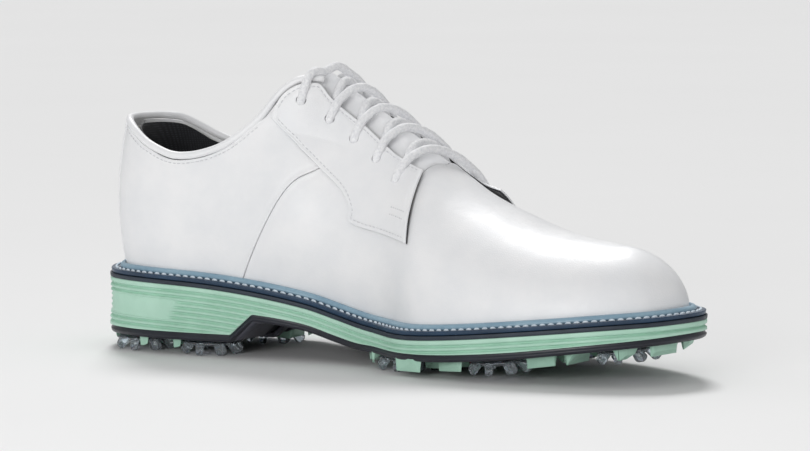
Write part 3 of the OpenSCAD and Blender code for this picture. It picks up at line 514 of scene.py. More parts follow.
class Paint:
    """One material with its node tree, laid out from texture coordinate to surface."""

    def __init__(self, name, rough=0.5, **settings):
        self.mat = bpy.data.materials.new(name)
        self.mat.use_nodes = True
        self.nodes = self.mat.node_tree.nodes
        self.links = self.mat.node_tree.links
        self.bsdf = self.nodes["Principled BSDF"]
        self.where = self.nodes.new("ShaderNodeTexCoord").outputs["Object"]
        self.normal = None
        self.bsdf.inputs["Roughness"].default_value = rough
        for key, value in settings.items():
            self.bsdf.inputs[key.replace("_", " ")].default_value = value

    def node(self, kind, inputs, **fields):
        n = self.nodes.new(kind)
        for key, value in fields.items():
            setattr(n, key, value)
        for key, value in inputs.items():
            if isinstance(value, bpy.types.NodeSocket):
                self.links.new(value, n.inputs[key])
            else:
                n.inputs[key].default_value = value
        return n

    def noise(self, scale, detail=3.0, rough=0.55, vector=None):
        inputs = {"Vector": vector or self.where, "Scale": scale, "Detail": detail, "Roughness": rough}
        return self.node("ShaderNodeTexNoise", inputs).outputs["Fac"]

    def cells(self, scale):
        return self.node("ShaderNodeTexVoronoi", {"Vector": self.where, "Scale": scale}).outputs["Distance"]

    def stretched(self, x, y, z):
        return self.node("ShaderNodeMapping", {"Vector": self.where, "Scale": (x, y, z)}).outputs["Vector"]

    def wave(self, scale, direction, distort):
        inputs = {"Vector": self.where, "Scale": scale, "Distortion": distort}
        return self.node("ShaderNodeTexWave", inputs, bands_direction=direction).outputs["Fac"]

    def sum(self, a, b, op="ADD"):
        return self.node("ShaderNodeMath", {0: a, 1: b}, operation=op).outputs[0]

    def span(self, fac, lo, hi, a, b):
        inputs = {"Value": fac, "From Min": lo, "From Max": hi, "To Min": a, "To Max": b}
        return self.node("ShaderNodeMapRange", inputs).outputs["Result"]

    def tint(self, fac, a, b, lo=0.35, hi=0.65):
        inputs = {"Factor": self.span(fac, lo, hi, 0.0, 1.0), 6: a, 7: b}
        return self.node("ShaderNodeMix", inputs, data_type="RGBA").outputs[2]

    def colour(self, socket):
        self.links.new(socket, self.bsdf.inputs["Base Color"])

    def roughness(self, fac, a, b):
        self.links.new(self.span(fac, 0.3, 0.7, a, b), self.bsdf.inputs["Roughness"])

    def bump(self, height, depth):
        """Adds a relief of the given depth in metres."""
        inputs = {"Height": height, "Distance": depth, "Strength": 1.0}
        if self.normal is not None:
            inputs["Normal"] = self.normal
        self.normal = self.node("ShaderNodeBump", inputs).outputs["Normal"]
        self.links.new(self.normal, self.bsdf.inputs["Normal"])


def leather(name, light, dark, rough=0.42, grain=1.0):
    p = Paint(name, rough, Coat_Weight=0.08, Coat_Roughness=0.3)
    p.colour(p.tint(p.noise(45, 4), dark, light))
    p.roughness(p.noise(160, 4), rough - 0.05, rough + 0.08)
    p.bump(p.noise(38, 2), 0.00035 * grain)
    p.bump(p.noise(420, 5, 0.6), 0.00005 * grain)
    p.bump(p.cells(1900), 0.000035 * grain)
    return p.mat


def moulded(name, light, dark, rough=0.4, grain=1.0, coat=0.0):
    """Rubber, foam or moulded plastic with a fine spark texture and faint flow marks."""
    p = Paint(name, rough, Coat_Weight=coat, Coat_Roughness=0.25)
    p.colour(p.tint(p.noise(70, 5, 0.6), dark, light))
    p.roughness(p.noise(260, 3), rough - 0.06, rough + 0.1)
    p.bump(p.noise(2400, 2), 0.00003 * grain)
    p.bump(p.noise(130, 3, vector=p.stretched(0.35, 1, 1)), 0.00008 * grain)
    return p.mat


def woven(name, light, dark, rough=0.85, threads=900.0):
    """Cloth with crossing threads."""
    p = Paint(name, rough, Sheen_Weight=0.25, Sheen_Roughness=0.5)
    warp = p.wave(threads / 3, "X", 1.2)
    weft = p.wave(threads / 3, "Z", 1.2)
    both = p.sum(warp, weft, "MULTIPLY")
    p.colour(p.tint(p.sum(both, p.noise(300, 4), "MULTIPLY"), dark, light, 0.05, 0.45))
    p.bump(both, 0.00012)
    p.bump(p.noise(1500, 3), 0.00005)
    return p.mat


def cord_cloth(name, light, dark):
    """Tightly braided thread."""
    p = Paint(name, 0.78, Sheen_Weight=0.3, Sheen_Roughness=0.4)
    p.colour(p.tint(p.noise(900, 4, 0.6), dark, light))
    p.bump(p.noise(1600, 3), 0.00006)
    p.bump(p.cells(2600), 0.00004)
    return p.mat


def clear_plastic(name, tone, rough):
    p = Paint(name, rough, Transmission_Weight=0.9, IOR=1.38, Base_Color=tone)
    p.roughness(p.noise(500, 3), max(rough - 0.03, 0.0), rough + 0.08)
    p.bump(p.noise(260, 3), 0.00006)
    return p.mat


def frosted_plastic(name, tone, dark):
    p = Paint(name, 0.42, Transmission_Weight=0.12, IOR=1.45, Subsurface_Weight=0.25,
              Subsurface_Scale=0.002)
    p.colour(p.tint(p.noise(420, 4), dark, tone))
    p.bump(p.noise(2600, 2), 0.00004)
    return p.mat


def metal(name, tone, rough):
    p = Paint(name, rough, Metallic=1.0)
    p.colour(p.tint(p.noise(200, 3), tone, tuple(0.85 * c for c in tone[:3]) + (1.0,)))
    p.roughness(p.noise(900, 2, vector=p.stretched(0.05, 1, 1)), rough - 0.04, rough + 0.1)
    return p.mat


def board(name, light, dark):
    """Pressed fibre or foam used inside the shoe."""
    p = Paint(name, 0.9)
    p.colour(p.tint(p.noise(800, 5, 0.7), dark, light))
    p.bump(p.noise(1200, 4), 0.0001)
    return p.mat


WHITE = leather("white_leather", rgb(243, 243, 244), rgb(236, 237, 239))
MIDSOLE = moulded("midsole_foam", rgb(184, 222, 203), rgb(174, 214, 194), 0.5)
MINT = moulded("mint_tpu", rgb(176, 216, 196), rgb(160, 202, 182), 0.36, coat=0.1)
NAVY = moulded("outsole_tpu", rgb(33, 35, 47), rgb(25, 27, 37), 0.36, coat=0.15)
EDGE = moulded("navy_edge", rgb(48, 58, 70), rgb(38, 46, 57), 0.5)
WELT = leather("blue_welt", rgb(36, 66, 94), rgb(26, 50, 74), 0.4, 0.6)
# The rand lip is the blue welt leather painted much lighter: a painted highlight for its sloped face.
RAND_PAINTED_HIGHLIGHT = leather("blue_rand_painted_highlight", rgb(152, 182, 198), rgb(130, 162, 182), 0.34, 0.6)
THREAD = cord_cloth("stitch_thread", rgb(228, 238, 246), rgb(200, 214, 226))
WHITE_THREAD = cord_cloth("white_thread", rgb(232, 232, 234), rgb(206, 207, 210))
LACE = cord_cloth("lace_cord", rgb(246, 246, 247), rgb(226, 227, 230))
LINING = woven("dark_lining", rgb(44, 46, 52), rgb(22, 23, 27))
SOCK = woven("sock_fabric", rgb(176, 182, 188), rgb(140, 147, 154))
GREY = moulded("grey_tpu", rgb(84, 84, 94), rgb(66, 66, 76), 0.38)
SILVER = metal("silver_trim", rgb(206, 208, 214), 0.22)
WINDOW = moulded("black_gloss", rgb(20, 20, 24), rgb(12, 12, 15), 0.16, 0.4, coat=0.5)
CLEAR = clear_plastic("clear_tpu", rgb(240, 247, 252), 0.06)
FROST = frosted_plastic("frosted_tpu", rgb(226, 229, 240), rgb(206, 210, 224))
SOCKET = moulded("receptacle_plastic", rgb(30, 31, 36), rgb(20, 21, 25), 0.5)
STEEL = metal("spring_steel", rgb(150, 153, 158), 0.35)
FIBRE = board("fibre_board", rgb(186, 160, 122), rgb(156, 130, 96))
FOAM = board("foam", rgb(206, 206, 200), rgb(184, 184, 176))
COUNTER = board("counter_board", rgb(214, 206, 184), rgb(190, 180, 156))
PUFF = board("puff_board", rgb(224, 220, 208), rgb(204, 198, 184))
TIP = moulded("aglet_plastic", rgb(222, 226, 230), rgb(205, 210, 216), 0.25, 0.5, coat=0.4)


# ---------------------------------------------------------------- sole unit
def in_heel_patch(x, drop):
    """Blank sunk panel on each side of the heel."""
    along_x = ramp(x, 4.5, 6.5) * (1 - ramp(x + 0.45 * (drop - 4), 54, 56))
    return along_x * ramp(drop, 6.0, 7.0) * (1 - ramp(drop, 15.6, 16.6))


def midsole_side(k, s):
    drop = np.concatenate([[0, 0.08, 0.25, 0.5], np.arange(0.8, 27, 0.22)])
    x = edge(k, s)[:, 0][:, None]
    top, low = mid_top(x), out_top(x) + 0.05
    z = np.maximum(top - drop[None, :], low)
    pitch, first, bevel = 2.42, 2.75, 0.5
    phase = (drop - first + pitch / 2) % pitch - pitch / 2
    groove = 1.15 * np.exp(-(phase / 0.46) ** 2) * (drop > 1.5)
    belly = 0.3 * (1 + np.cos(2 * np.pi * phase / pitch)) * (drop > 1.5)
    corner = bevel - np.sqrt(np.maximum(bevel ** 2 - (bevel - np.minimum(drop, bevel)) ** 2, 0))
    free = ramp(z - low, 0.25, 0.7)
    patch = in_heel_patch(x, drop[None, :])
    depth = 0.55 + corner[None, :] + (groove + belly)[None, :] * free * (1 - patch) + 0.9 * patch
    flare = 0.022 * np.maximum(top - z - 8, 0)
    return rim(k, s, depth - flare, z)


def make_midsole():
    slab_side = lambda k, s: midsole_side(k, s)[:, ::-1]
    obj = slab("midsole_body", MIDSOLE, slab_side, count=240, across=3)
    finish_piece("midsole", "midsole_foam")


def make_welt_layers():
    edge_profile = fillet([(0.5, 0.02), (0.35, EDGE_T - 0.15), (20, EDGE_T - 0.05), (20, 0.02)], 0.45)
    layer = hoop("edge_layer", EDGE, edge_profile, mid_top)
    finish_piece("welt_edge", "navy_edge")
    top = EDGE_T + WELT_T
    welt_profile = fillet([(1.25, EDGE_T + 0.05), (0.95, top - 0.1), (2.7, top + 0.05), (3.3, top - 0.32),
                           (3.9, top + 0.05), (5.3, top + 0.05), (12.4, top), (12.4, EDGE_T + 0.05)], 0.35)
    welt = hoop("stitched_welt", WELT, welt_profile, mid_top)
    finish_piece("welt", "blue_welt")
    # Rand lip in the lighter blue: painted highlight on the welt leather's sloped lip.
    lip_profile = fillet([(5.1, top + 0.02), (5.0, top + 1.2), (5.9, top + 2.2), (7.1, top + 2.5),
                          (7.6, top + 1.6), (7.7, top + 0.02)], 0.6)
    lip = hoop("rand_lip", RAND_PAINTED_HIGHLIGHT, lip_profile, mid_top)
    finish_piece("rand", "blue_welt")


def make_welt_stitching():
    rows = []
    for k in (OUTER, INNER):
        s = stations(700)
        p = inset(k, s, np.full(s.shape, 3.3))
        z = mid_top(p[:, 0]) + EDGE_T + WELT_T - 0.2
        points = np.concatenate([p, z[:, None]], 1)
        up = np.tile([0.0, 0.0, 1.0], (len(s), 1))
        rows.append(stitch_row(points, up, 3.7, 2.8, 0.55, 0.1, slant=0.16 * k))
    obj = stitches("welt_stitch_row", THREAD, rows)
    finish_piece("welt_stitching", "stitch_thread")


def fan(x, y, y0, y1, near, far, count):
    """Fan of ribs between two edges of the waist."""
    t = np.clip((y - y0) / (y1 - y0), -0.2, 1.2)
    lo, hi = mix(near[0], far[0], t), mix(near[1], far[1], t)
    u = (x - lo) / (hi - lo)
    inside = ramp(u, 0, 0.04) * (1 - ramp(u, 0.96, 1)) * ramp(t, 0, 0.08) * (1 - ramp(t, 0.9, 1))
    return inside * (0.5 + 0.5 * np.cos(2 * np.pi * count * u)) ** 1.5


def plate_relief(x, y):
    """How far the underside stands down from the plain plate."""
    ribs = fan(x, y, 14, 44, (95, 130), (100, 152), 13) + fan(x, y, -10, -31, (98, 132), (104, 142), 12)
    upper, lower = mix(4, 13, (x - 36) / 54), mix(-5, -10, (x - 36) / 54)
    channel = ramp(x, 34, 38) * (1 - ramp(x, 90, 93)) * ramp(y, lower - 0.4, lower + 0.4) * (
        1 - ramp(y, upper - 0.4, upper + 0.4))
    line_up = np.exp(-((y - upper) / 0.45) ** 2) + np.exp(-((y - lower) / 0.45) ** 2)
    line_up = line_up * ramp(x, 34, 37) * (1 - ramp(x, 88, 92))
    return 0.75 * ribs - 1.1 * channel + 0.5 * line_up


def outsole_side(k, s):
    t = np.array([0, 0.04, 0.14, 0.3, 0.45, 0.52, 0.62, 0.85, 1.0])
    depth = np.array([2.0, 1.45, 1.05, 0.8, 0.7, 0.78, 1.25, 1.35, 1.4])
    x = edge(k, s)[:, 0][:, None]
    z = mix(out_bot(x), out_top(x), t[None, :])
    return rim(k, s, np.repeat(depth[None], len(s), 0), z)


def make_outsole():
    obj = slab("outsole_plate", NAVY, outsole_side, count=330, across=150,
               bottom=lambda x, y: out_bot(x) - plate_relief(x, y))
    finish_piece("outsole", "outsole_tpu")


# Lugs: (ridge start, ridge end, other corners of the light side, corners of the shaded side)
FOREFOOT_LUGS = [
    ((136, 17.2), (149.8, 16.5), [(142.8, 11)], [(145.5, 19), (138.5, 18.9)]),
    ((145.5, 26.8), (166, 22.3), [(154.5, 18)], [(160, 27), (149.8, 29)]),
    ((146, 34.4), (153.8, 35.2), [(144.4, 30.2)], []),
    ((153.8, 44.8), (161, 44.5), [(160, 37), (156, 38.6)], [(160, 46.5), (155.5, 46)]),
    ((177, 48.5), (198.5, 41.3), [(196.5, 40.2), (184, 41.2)], [(191, 45), (182, 48.6)]),
    ((199.5, 46.4), (220.4, 36), [(215, 36.7), (204, 41.5)], [(214, 40.6), (205.8, 44.9)]),
    ((189.5, 35.6), (208, 24.3), [(206, 23.9), (194, 26.3), (188, 34.6)],
     [(212, 24.4), (201.5, 33), (194, 36)]),
    ((183.2, 27.6), (186, 29.4), [(188.6, 26), (183.6, 26)], []),
    ((176.2, 18.8), (192.2, 10.5), [(191, 9.9), (178.3, 9.8)], [(194.3, 12), (183, 20.1), (179.5, 20.2)]),
    ((196.8, 21.2), (214, 7.8), [(213, 7.6), (198.7, 11.2), (195.8, 21.6)],
     [(216, 8.2), (207.5, 18.4), (203.3, 20.5)]),
    ((225, 9.7), (232, 0.3), [(221, 4.8), (219.6, 9.8)], [(237.4, -2), (230, 8), (228.6, 9.3)]),
    ((234, 35.6), (249.6, 22.6), [(247, 22.8), (238.6, 30.3)], [(245, 29), (237, 35.2)]),
    ((240.3, 19.6), (251.6, 4.9), [(240.5, 13.2), (238.2, 18.4)],
     [(253.8, 4.7), (248, 16.6), (244.4, 19.3)]),
    ((258.6, 27.8), (269.4, 11.2), [(270.4, 12.5), (270, 22.2)], [(268.3, 10.4), (255.2, 27.2)]),
    ((262.7, 9), (269.4, -4.8), [(270.4, -4.8), (270.8, 4.1)], [(268, -4.8), (260.2, 9.4)]),
    ((279.6, 15.6), (288.6, -4.4), [(290.5, 4.5)], [(286.6, -3), (275.3, 16)]),
    ((278.6, -2.2), (285.6, -17.5), [(288, -9.8)], [(283, -16.2), (275.6, -1.6)]),
    ((291.2, -15), (285.9, -31.2), [(287.5, -31.6), (293, -17)], []),
    ((276.5, -34.6), (275.5, -40), [(278.4, -37.3), (281.4, -31.8)], [(273, -41.3), (272.9, -37)]),
    ((241, 7.2), (252.7, -15.3), [(241.2, -4.7)], [(254, -15.6), (251.8, -3.5), (246, 4.6)]),
    ((220, 0.8), (228.8, -16.8), [(216.4, -11), (218.6, -2)], [(231.8, -18.4), (233.3, -12.8),
                                                              (230.2, -3.4), (223.6, -0.6)]),
    ((199.6, 5.6), (210.8, -8.9), [(197.2, -4.8), (198, 6.3)], [(212.7, -8.8), (213.5, -5.6), (207.6, 3.7),
                                                              (203, 4.3)]),
    ((182, 3.4), (192.6, -3.3), [(178.6, -3.3), (178, 1)], [(193.4, -2), (187.4, 4.4)]),
    ((161.2, -0.1), (165.8, -0.3), [(170.6, -4.4), (162.2, -6.7)], []),
    ((148.4, -5.9), (156, -9.5), [(148.8, -14.2)], [(156.6, -8.2), (150.4, -4.8)]),
    ((158.5, -16.6), (170.6, -7.8), [(160.4, -9.9)], [(165, -13.8)]),
    ((145.2, -12), (142.2, -18.8), [(142.1, -16)], []),
    ((175, -14.1), (191, -8.9), [(190, -7), (178, -6.8)], [(189, -11.4), (178.4, -14.9)]),
    ((192.3, -16.7), (210.4, -12.4), [(195.8, -8.2)], [(208.6, -15.4), (196.9, -18.4)]),
    ((207.3, -23.3), (228.4, -20.9), [(214.6, -14.1)], [(226.6, -24.6), (213, -24.4)]),
    ((240, -9.5), (245.6, -33), [(234.5, -21.4)], [(247, -32.6), (249.3, -28.6), (245.4, -14.9)]),
    ((233.8, -34.4), (241.3, -33.7), [(232.7, -24.7), (229, -28.8)],
     [(242.9, -37.1), (240.8, -39.9), (234.8, -39.7)]),
    ((255.4, -27.2), (254.2, -46.9), [(252.9, -46.2), (248.4, -37.1)],
     [(258, -46.6), (258.6, -36), (257.8, -28.4)]),
    ((235.9, -48.8), (249.6, -46.2), [(245.3, -40.2)], [(249.4, -48.6), (236, -51.4)]),
    ((182.2, -25.2), (200.5, -24.4), [(188.9, -20.1)], [(198.7, -26.8), (186, -28.1)]),
    ((194.8, -33.8), (203.4, -33.6), [(208, -28.4), (204.9, -26.6)], [(203, -36), (199, -36.2)]),
    ((181.7, -40.9), (198, -41.3), [(190.6, -36)], [(196.6, -44.2), (187.4, -45)]),
    ((193.4, -49.6), (207.8, -54.1), [(203, -46.4)], [(204.4, -54.9)]),
    ((174.2, -53.2), (189.3, -57.2), [(185.5, -51)], [(184.5, -57.6)]),
    ((172.6, -44.2), (180.9, -46.2), [(176.6, -42.6)], [(178, -48.4)]),
    ((145.4, -27), (153.6, -21), [(152.6, -28.2), (147, -29)], [(152.4, -19.4), (145.4, -24)]),
    ((151, -33.8), (153.4, -33.8), [(157, -39.4), (154.3, -39.6)], []),
    ((224.8, 41.3), (231.6, 38.6), [(228.4, 38.2)], []),
]
HEEL_LUGS = [
    ((3.2, -5.4), (3.6, 3.8), [(5.4, 8.8), (11, 11.3), (8, 6), (4.4, -3.2)], []),
    ((4.0, -14.2), (9.6, -8), [(9.3, -12), (9.0, -21.0), (8.2, -23), (6.6, -20.6), (5.0, -18.3)], []),
    ((13.4, 11.7), (13.1, 6), [(13.9, 1.8), (18.6, 6), (18.4, 10.4)], []),
    ((20.3, 2.3), (13.1, -1.9), [(12.9, -5.5), (13.5, -12.6), (15.2, -14.4), (17.8, -7), (21, 1.8)], []),
    ((34.9, 7.3), (27.4, 5.6), [(26.9, 0.3), (28.1, -5.8), (30.4, -3.3), (33.2, 3.1)], []),
    ((27.4, -9.6), (32.4, -5.4), [(35.1, -7.3), (34.9, -10.9), (30.3, -10.5)], []),
    ((47.6, 19.6), (46.2, 7.4), [(45.2, 6.8), (43.7, 11), (44.6, 18.4)],
     [(50.4, 10.3), (55.4, 16.4), (54, 19.2), (49.8, 20.2)]),
    ((35.6, 35.2), (38.9, 37.4), [(44.9, 37.3), (40.4, 33.2), (37.1, 31.5)], []),
    ((38.9, 28.1), (44.6, 30.9), [(47.1, 29.9), (41.7, 26.5)], []),
    ((81.4, 24.7), (75.2, 18.8), [(69.9, 12.1), (79.8, 13.9), (81.4, 15.4)], []),
    ((77.6, 31.7), (81.4, 33), [(81.4, 29.6), (79.6, 28.7)], []),
    ((39.6, -24.6), (48.4, -24.7), [(44.6, -17.3), (37.8, -21.5)], [(49.6, -31), (39.4, -31), (39.2, -26)]),
    ((51.4, -11.1), (58, -9), [(56.6, -11), (51.8, -13.2)], []),
    ((31, -36.8), (32.4, -34.8), [(34.9, -35.2), (36, -37.1)], []),
    ((48.9, -37.1), (50.8, -35.2), [(53.5, -36.6), (54, -37.2)], []),
    ((16.6, 28.6), (18.2, 31.6), [(20.6, 34), (17.9, 33)], []),
]
LUG_H, HEEL_LUG_H = 4.7, 4.2
SPIKE_R = 14.6


def keep_clear(points):
    """Moves lug corners out of the space under the spikes."""
    p = np.array(points, float)
    for x, y, _ in SPIKES:
        away = p - [x, y]
        dist = np.linalg.norm(away, axis=1, keepdims=True)
        p = np.where(dist < SPIKE_R + 0.8, [x, y] + away / np.maximum(dist, 1e-6) * (SPIKE_R + 0.8), p)
    return p


def tucked(ring, amount=1.9):
    """Ground face of a lug: the corners off its ridge drawn in, so that its walls slope."""
    middle = ring.mean(0)
    reach = np.linalg.norm(ring - middle, axis=1, keepdims=True)
    low = ring - (ring - middle) * np.minimum(amount / np.maximum(reach, 0.1), 0.4)
    low[:2] = mix(ring[:2], low[:2], 0.4)
    return low


def lug_mesh(lugs, height, light_drop, shade_drop):
    """Faceted lugs: a light side and a shaded side, each with sloping walls down from the plate."""
    verts, faces = [], []
    for r0, r1, light, shade in lugs:
        for corners, drop in ((light, light_drop), (shade, shade_drop)):
            if not corners:
                continue
            ring = keep_clear([r0, r1] + corners)
            base, n = len(verts), len(ring)
            z = out_bot(ring[:, 0])
            share = [1.0, 1.0] + [drop] * len(corners)
            verts += [(q[0], q[1], h - height * f) for q, h, f in zip(tucked(ring), z, share)]
            verts += [(q[0], q[1], h + 1.0) for q, h in zip(ring, z)]
            closing = [f[::-1] for f in end_faces(2, n)]
            faces += [tuple(base + i for i in f) for f in closing + loft_faces(2, n)]
    return np.array(verts), faces


def soften(obj, width, segments=2, angle=25):
    """Small rounded edges on a hard-edged piece."""
    m = obj.modifiers.new("edges", "BEVEL")
    m.width = width * 0.001
    m.segments = segments
    m.limit_method = "ANGLE"
    m.angle_limit = math.radians(angle)
    m.harden_normals = False
    apply_modifiers(obj)


def apply_modifiers(obj):
    bpy.context.view_layer.update()
    shape = bpy.data.meshes.new_from_object(obj.evaluated_get(bpy.context.evaluated_depsgraph_get()))
    obj.modifiers.clear()
    obj.data = shape


def make_lugs():
    for name, lugs, height, drops in (("forefoot", FOREFOOT_LUGS, LUG_H, (0.6, 0.2)),
                                      ("heel", HEEL_LUGS, HEEL_LUG_H, (0.8, 0.25))):
        obj = mesh_object(name + "_lug_set", *lug_mesh(lugs, height, *drops), MINT, smooth=False)
        soften(obj, 0.22)
        finish_piece(name + "_lugs", "mint_tpu")


BRIDGE_Y = 2.5
BRIDGE = [(50, 1.2), (62, 1.7), (76, 2.2), (86, 3.2), (92, 6.0), (98, 7.4), (110, 7.7), (122, 7.2),
          (128, 5.2), (134, 3.0), (150, 2.3), (162, 1.8), (171, 1.1)]
BRIDGE_MID = [(50, -1.2), (70, 0.0), (88, 1.8), (98, 2.5), (122, 2.5), (134, 3.4), (171, 5.4)]
BADGE = (93.0, 128.0)
BADGE_R = 3.5


def bridge_section(x):
    """Corners across the bridge at x: (y, depth below the plate)."""
    w, mid = curve(BRIDGE, x), curve(BRIDGE_MID, x)
    pod = ramp(x, 86, 92) * (1 - ramp(x, 127, 134))
    h = mix(1.6, 2.6, pod) * ramp(x, 49, 56) * (1 - 0.6 * ramp(x, 160, 171))
    side = mix(0.35, 1.3, pod)
    return [(mid - w, -0.6), (mid - w, h * 0.25), (mid - w + side * 0.4, h * 0.8), (mid - w + side, h),
            (mid + w - side, h), (mid + w - side * 0.4, h * 0.8), (mid + w, h * 0.25), (mid + w, -0.6)]


def make_bridge():
    xs = np.linspace(50.5, 170.8, 150)
    verts = []
    for x in xs:
        verts += [(x, y, out_bot(x) - d) for y, d in bridge_section(x)]
    n, m = len(xs), 8
    faces = loft_faces(n, m) + end_faces(n, m)
    body = mesh_object("bridge_body", np.array(verts), faces, GREY, smooth=False)
    cutter = pill_block("bridge_cutter", BADGE_R + 0.75, -4, -0.6, GREY)
    cut(body, cutter)
    soften(body, 0.25, 2, 30)
    finish_piece("arch_bridge", "grey_tpu")
    scallop()


def scallop():
    """Wavy strip beside the pod."""
    xs = np.linspace(97, 130, 100)
    verts = []
    for x in xs:
        u = (x - 97) / 33
        top = -6.3 + 0.4 * u
        ends = float(ramp(u, 0, 0.06) * (1 - ramp(u, 0.94, 1)))
        low = top - (1.4 + 1.1 * abs(math.sin(math.pi * 5 * u))) * ends
        z = out_bot(x)
        verts += [(x, top, z + 0.5), (x, top, z - 1.2), (x, low, z - 0.9), (x, low, z + 0.5)]
    n, m = len(xs), 4
    faces = loft_faces(n, m) + end_faces(n, m)
    strip = mesh_object("bridge_scallop", np.array(verts), faces, GREY, smooth=False)
    soften(strip, 0.15)


def pill_points(r, count=28):
    """Outline of the badge capsule grown to radius r."""
    a0, a1 = BADGE[0] + BADGE_R, BADGE[1] - BADGE_R
    t = np.linspace(-np.pi / 2, np.pi / 2, count)
    right = [(a1 + r * math.cos(a), BRIDGE_Y + r * math.sin(a)) for a in t]
    left = [(a0 - r * math.cos(a), BRIDGE_Y - r * math.sin(a)) for a in t]
    straight = np.linspace(0, 1, 14)[1:-1]
    upper = [(mix(a1, a0, u), BRIDGE_Y + r) for u in straight]
    lower = [(mix(a0, a1, u), BRIDGE_Y - r) for u in straight]
    return np.array(right + upper + left + lower)


def pill_block(name, r, lo, hi, material):
    """Capsule block following the underside, between two heights from the plate's lower face."""
    p = pill_points(r)
    n = len(p)
    z = out_bot(p[:, 0])
    verts = [(q[0], q[1], h + d) for d in (lo, hi) for q, h in zip(p, z)]
    return mesh_object(name, np.array(verts), loft_faces(2, n) + end_faces(2, n), material, smooth=False)


def cut(obj, cutter):
    m = obj.modifiers.new("cut", "BOOLEAN")
    m.object = cutter
    m.operation = "DIFFERENCE"
    m.solver = "EXACT"
    apply_modifiers(obj)
    bpy.data.objects.remove(cutter)


def pill_ring(name, profile, material):
    """Ring along the capsule; profile lists (radius, depth below the plate)."""
    rings = []
    for r, d in profile:
        p = pill_points(r)
        rings.append(np.stack([p[:, 0], p[:, 1], out_bot(p[:, 0]) - d], -1))
    g = np.stack(rings, 1)
    return mesh_object(name, g.reshape(-1, 3), loft_faces(*g.shape[:2], closed=True), material)


def make_badge():
    profile = fillet([(BADGE_R - 0.35, 1.3), (BADGE_R - 0.25, 2.6), (BADGE_R + 0.15, 2.95),
                      (BADGE_R + 0.6, 2.6), (BADGE_R + 0.65, 1.3)], 0.2)
    ring = pill_ring("badge_ring", profile, SILVER)
    finish_piece("badge_bezel", "silver_trim")
    p = pill_points(BADGE_R - 0.36)
    n = len(p)
    verts = []
    middle = (BADGE[0] + BADGE[1]) / 2
    centre = np.array([(mix(q[0], middle, 0.03), BRIDGE_Y + (q[1] - BRIDGE_Y) * 0.72) for q in p])
    spine = np.array([(np.clip(q[0], BADGE[0] + BADGE_R, BADGE[1] - BADGE_R), BRIDGE_Y) for q in p])
    for pts, d in ((p, 1.25), (p, 1.9), (centre, 2.25), (spine, 2.35)):
        verts += [(q[0], q[1], out_bot(q[0]) - d) for q in pts]
    faces = loft_faces(4, n) + [tuple(range(n))]
    window = mesh_object("badge_glass", np.array(verts), faces, WINDOW, weld=0.002)
    finish_piece("badge_window", "black_gloss")


def make_breast_pads():
    """Grey inclined faces at the front of the heel."""
    verts, faces = [], []
    pads = (((80.6, 12.6), (92.2, 13.2), (97.4, 39.4), (81.6, 39.4)),
            ((80.6, -10.2), (89.8, -10.2), (95.4, -36.2), (80.6, -36.2)))
    n, m = 10, 8
    k = (n + 1) * (m + 1)
    for corners in pads:
        (ax, ay), (bx, by), (cx, cy), (dx, dy) = corners
        base = len(verts)
        for lower in (True, False):
            for u in np.linspace(0, 1, n + 1):
                for v in np.linspace(0, 1, m + 1):
                    x = mix(mix(ax, bx, u), mix(dx, cx, u), v)
                    y = mix(mix(ay, by, u), mix(dy, cy, u), v)
                    near = min(u * 11, (1 - u) * 11, v * 26, (1 - v) * 26)
                    d = 0.9 * min(near / 0.6, 1) ** 0.5 + 0.15 if lower else -0.5
                    verts.append((x, y, float(out_bot(x)) - d))
        faces += grid_faces(n + 1, m + 1, base) + grid_faces(n + 1, m + 1, base + k)
        ring = [base + j for j in range(m)] + [base + i * (m + 1) + m for i in range(n)]
        ring += [base + n * (m + 1) + m - j for j in range(m)]
        ring += [base + (n - i) * (m + 1) for i in range(n)]
        faces += [(a, b, b + k, a + k) for a, b in zip(ring, ring[1:] + ring[:1])]
    obj = mesh_object("breast_pads", np.array(verts), faces, GREY)
    finish_piece("heel_breast_pads", "grey_tpu")


# ---------------------------------------------------------------- spikes
SPIKE_NAMES = ["ball_outer", "toe_outer", "toe_tip", "toe_inner", "ball_inner", "heel_back_outer",
               "heel_front_outer", "heel_back_inner", "heel_front_inner"]
ARMS = 8
CORE_R = 8.1
PIT_R = 6.95


def spike_place(i):
    x, y, tilt = SPIKES[i]
    spot = Vector(place([x, y, float(out_bot(x))]).tolist())
    return Matrix.Translation(spot) @ Matrix.Rotation(math.radians(-tilt), 4, "Y")


def bare_mesh(name, verts, faces, material, weld=0.0):
    """Mesh data in metres about the origin, made from millimetre points."""
    me = bpy.data.meshes.new(name)
    me.from_pydata((np.array(verts, float) * 0.001).tolist(), [], [tuple(int(i) for i in f) for f in faces])
    return finish_mesh(me, weld, True, material)


def turned(profile, count, wobble=None):
    """Points and faces of a profile of (radius, height) turned about Z, closed at the axis."""
    a = np.linspace(0, 2 * np.pi, count, endpoint=False)
    verts = []
    for r, z in profile:
        for t in a:
            rr, zz = (r, z) if wobble is None else wobble(r, z, t)
            verts.append((rr * math.cos(t), rr * math.sin(t), zz))
    return verts, loft_faces(len(profile), count)


def arm_profile():
    """Side view of one spike arm, from the hub out to its rounded tip: (radius, height)."""
    corners = [(7.6, -1.35), (8.5, -3.1), (10.4, -5.1), (11.6, -6.75), (12.9, -7.0), (14.3, -5.7),
               (14.6, -4.1), (13.4, -2.9), (13.6, -1.35)]
    return fillet(corners, 0.9, 3)


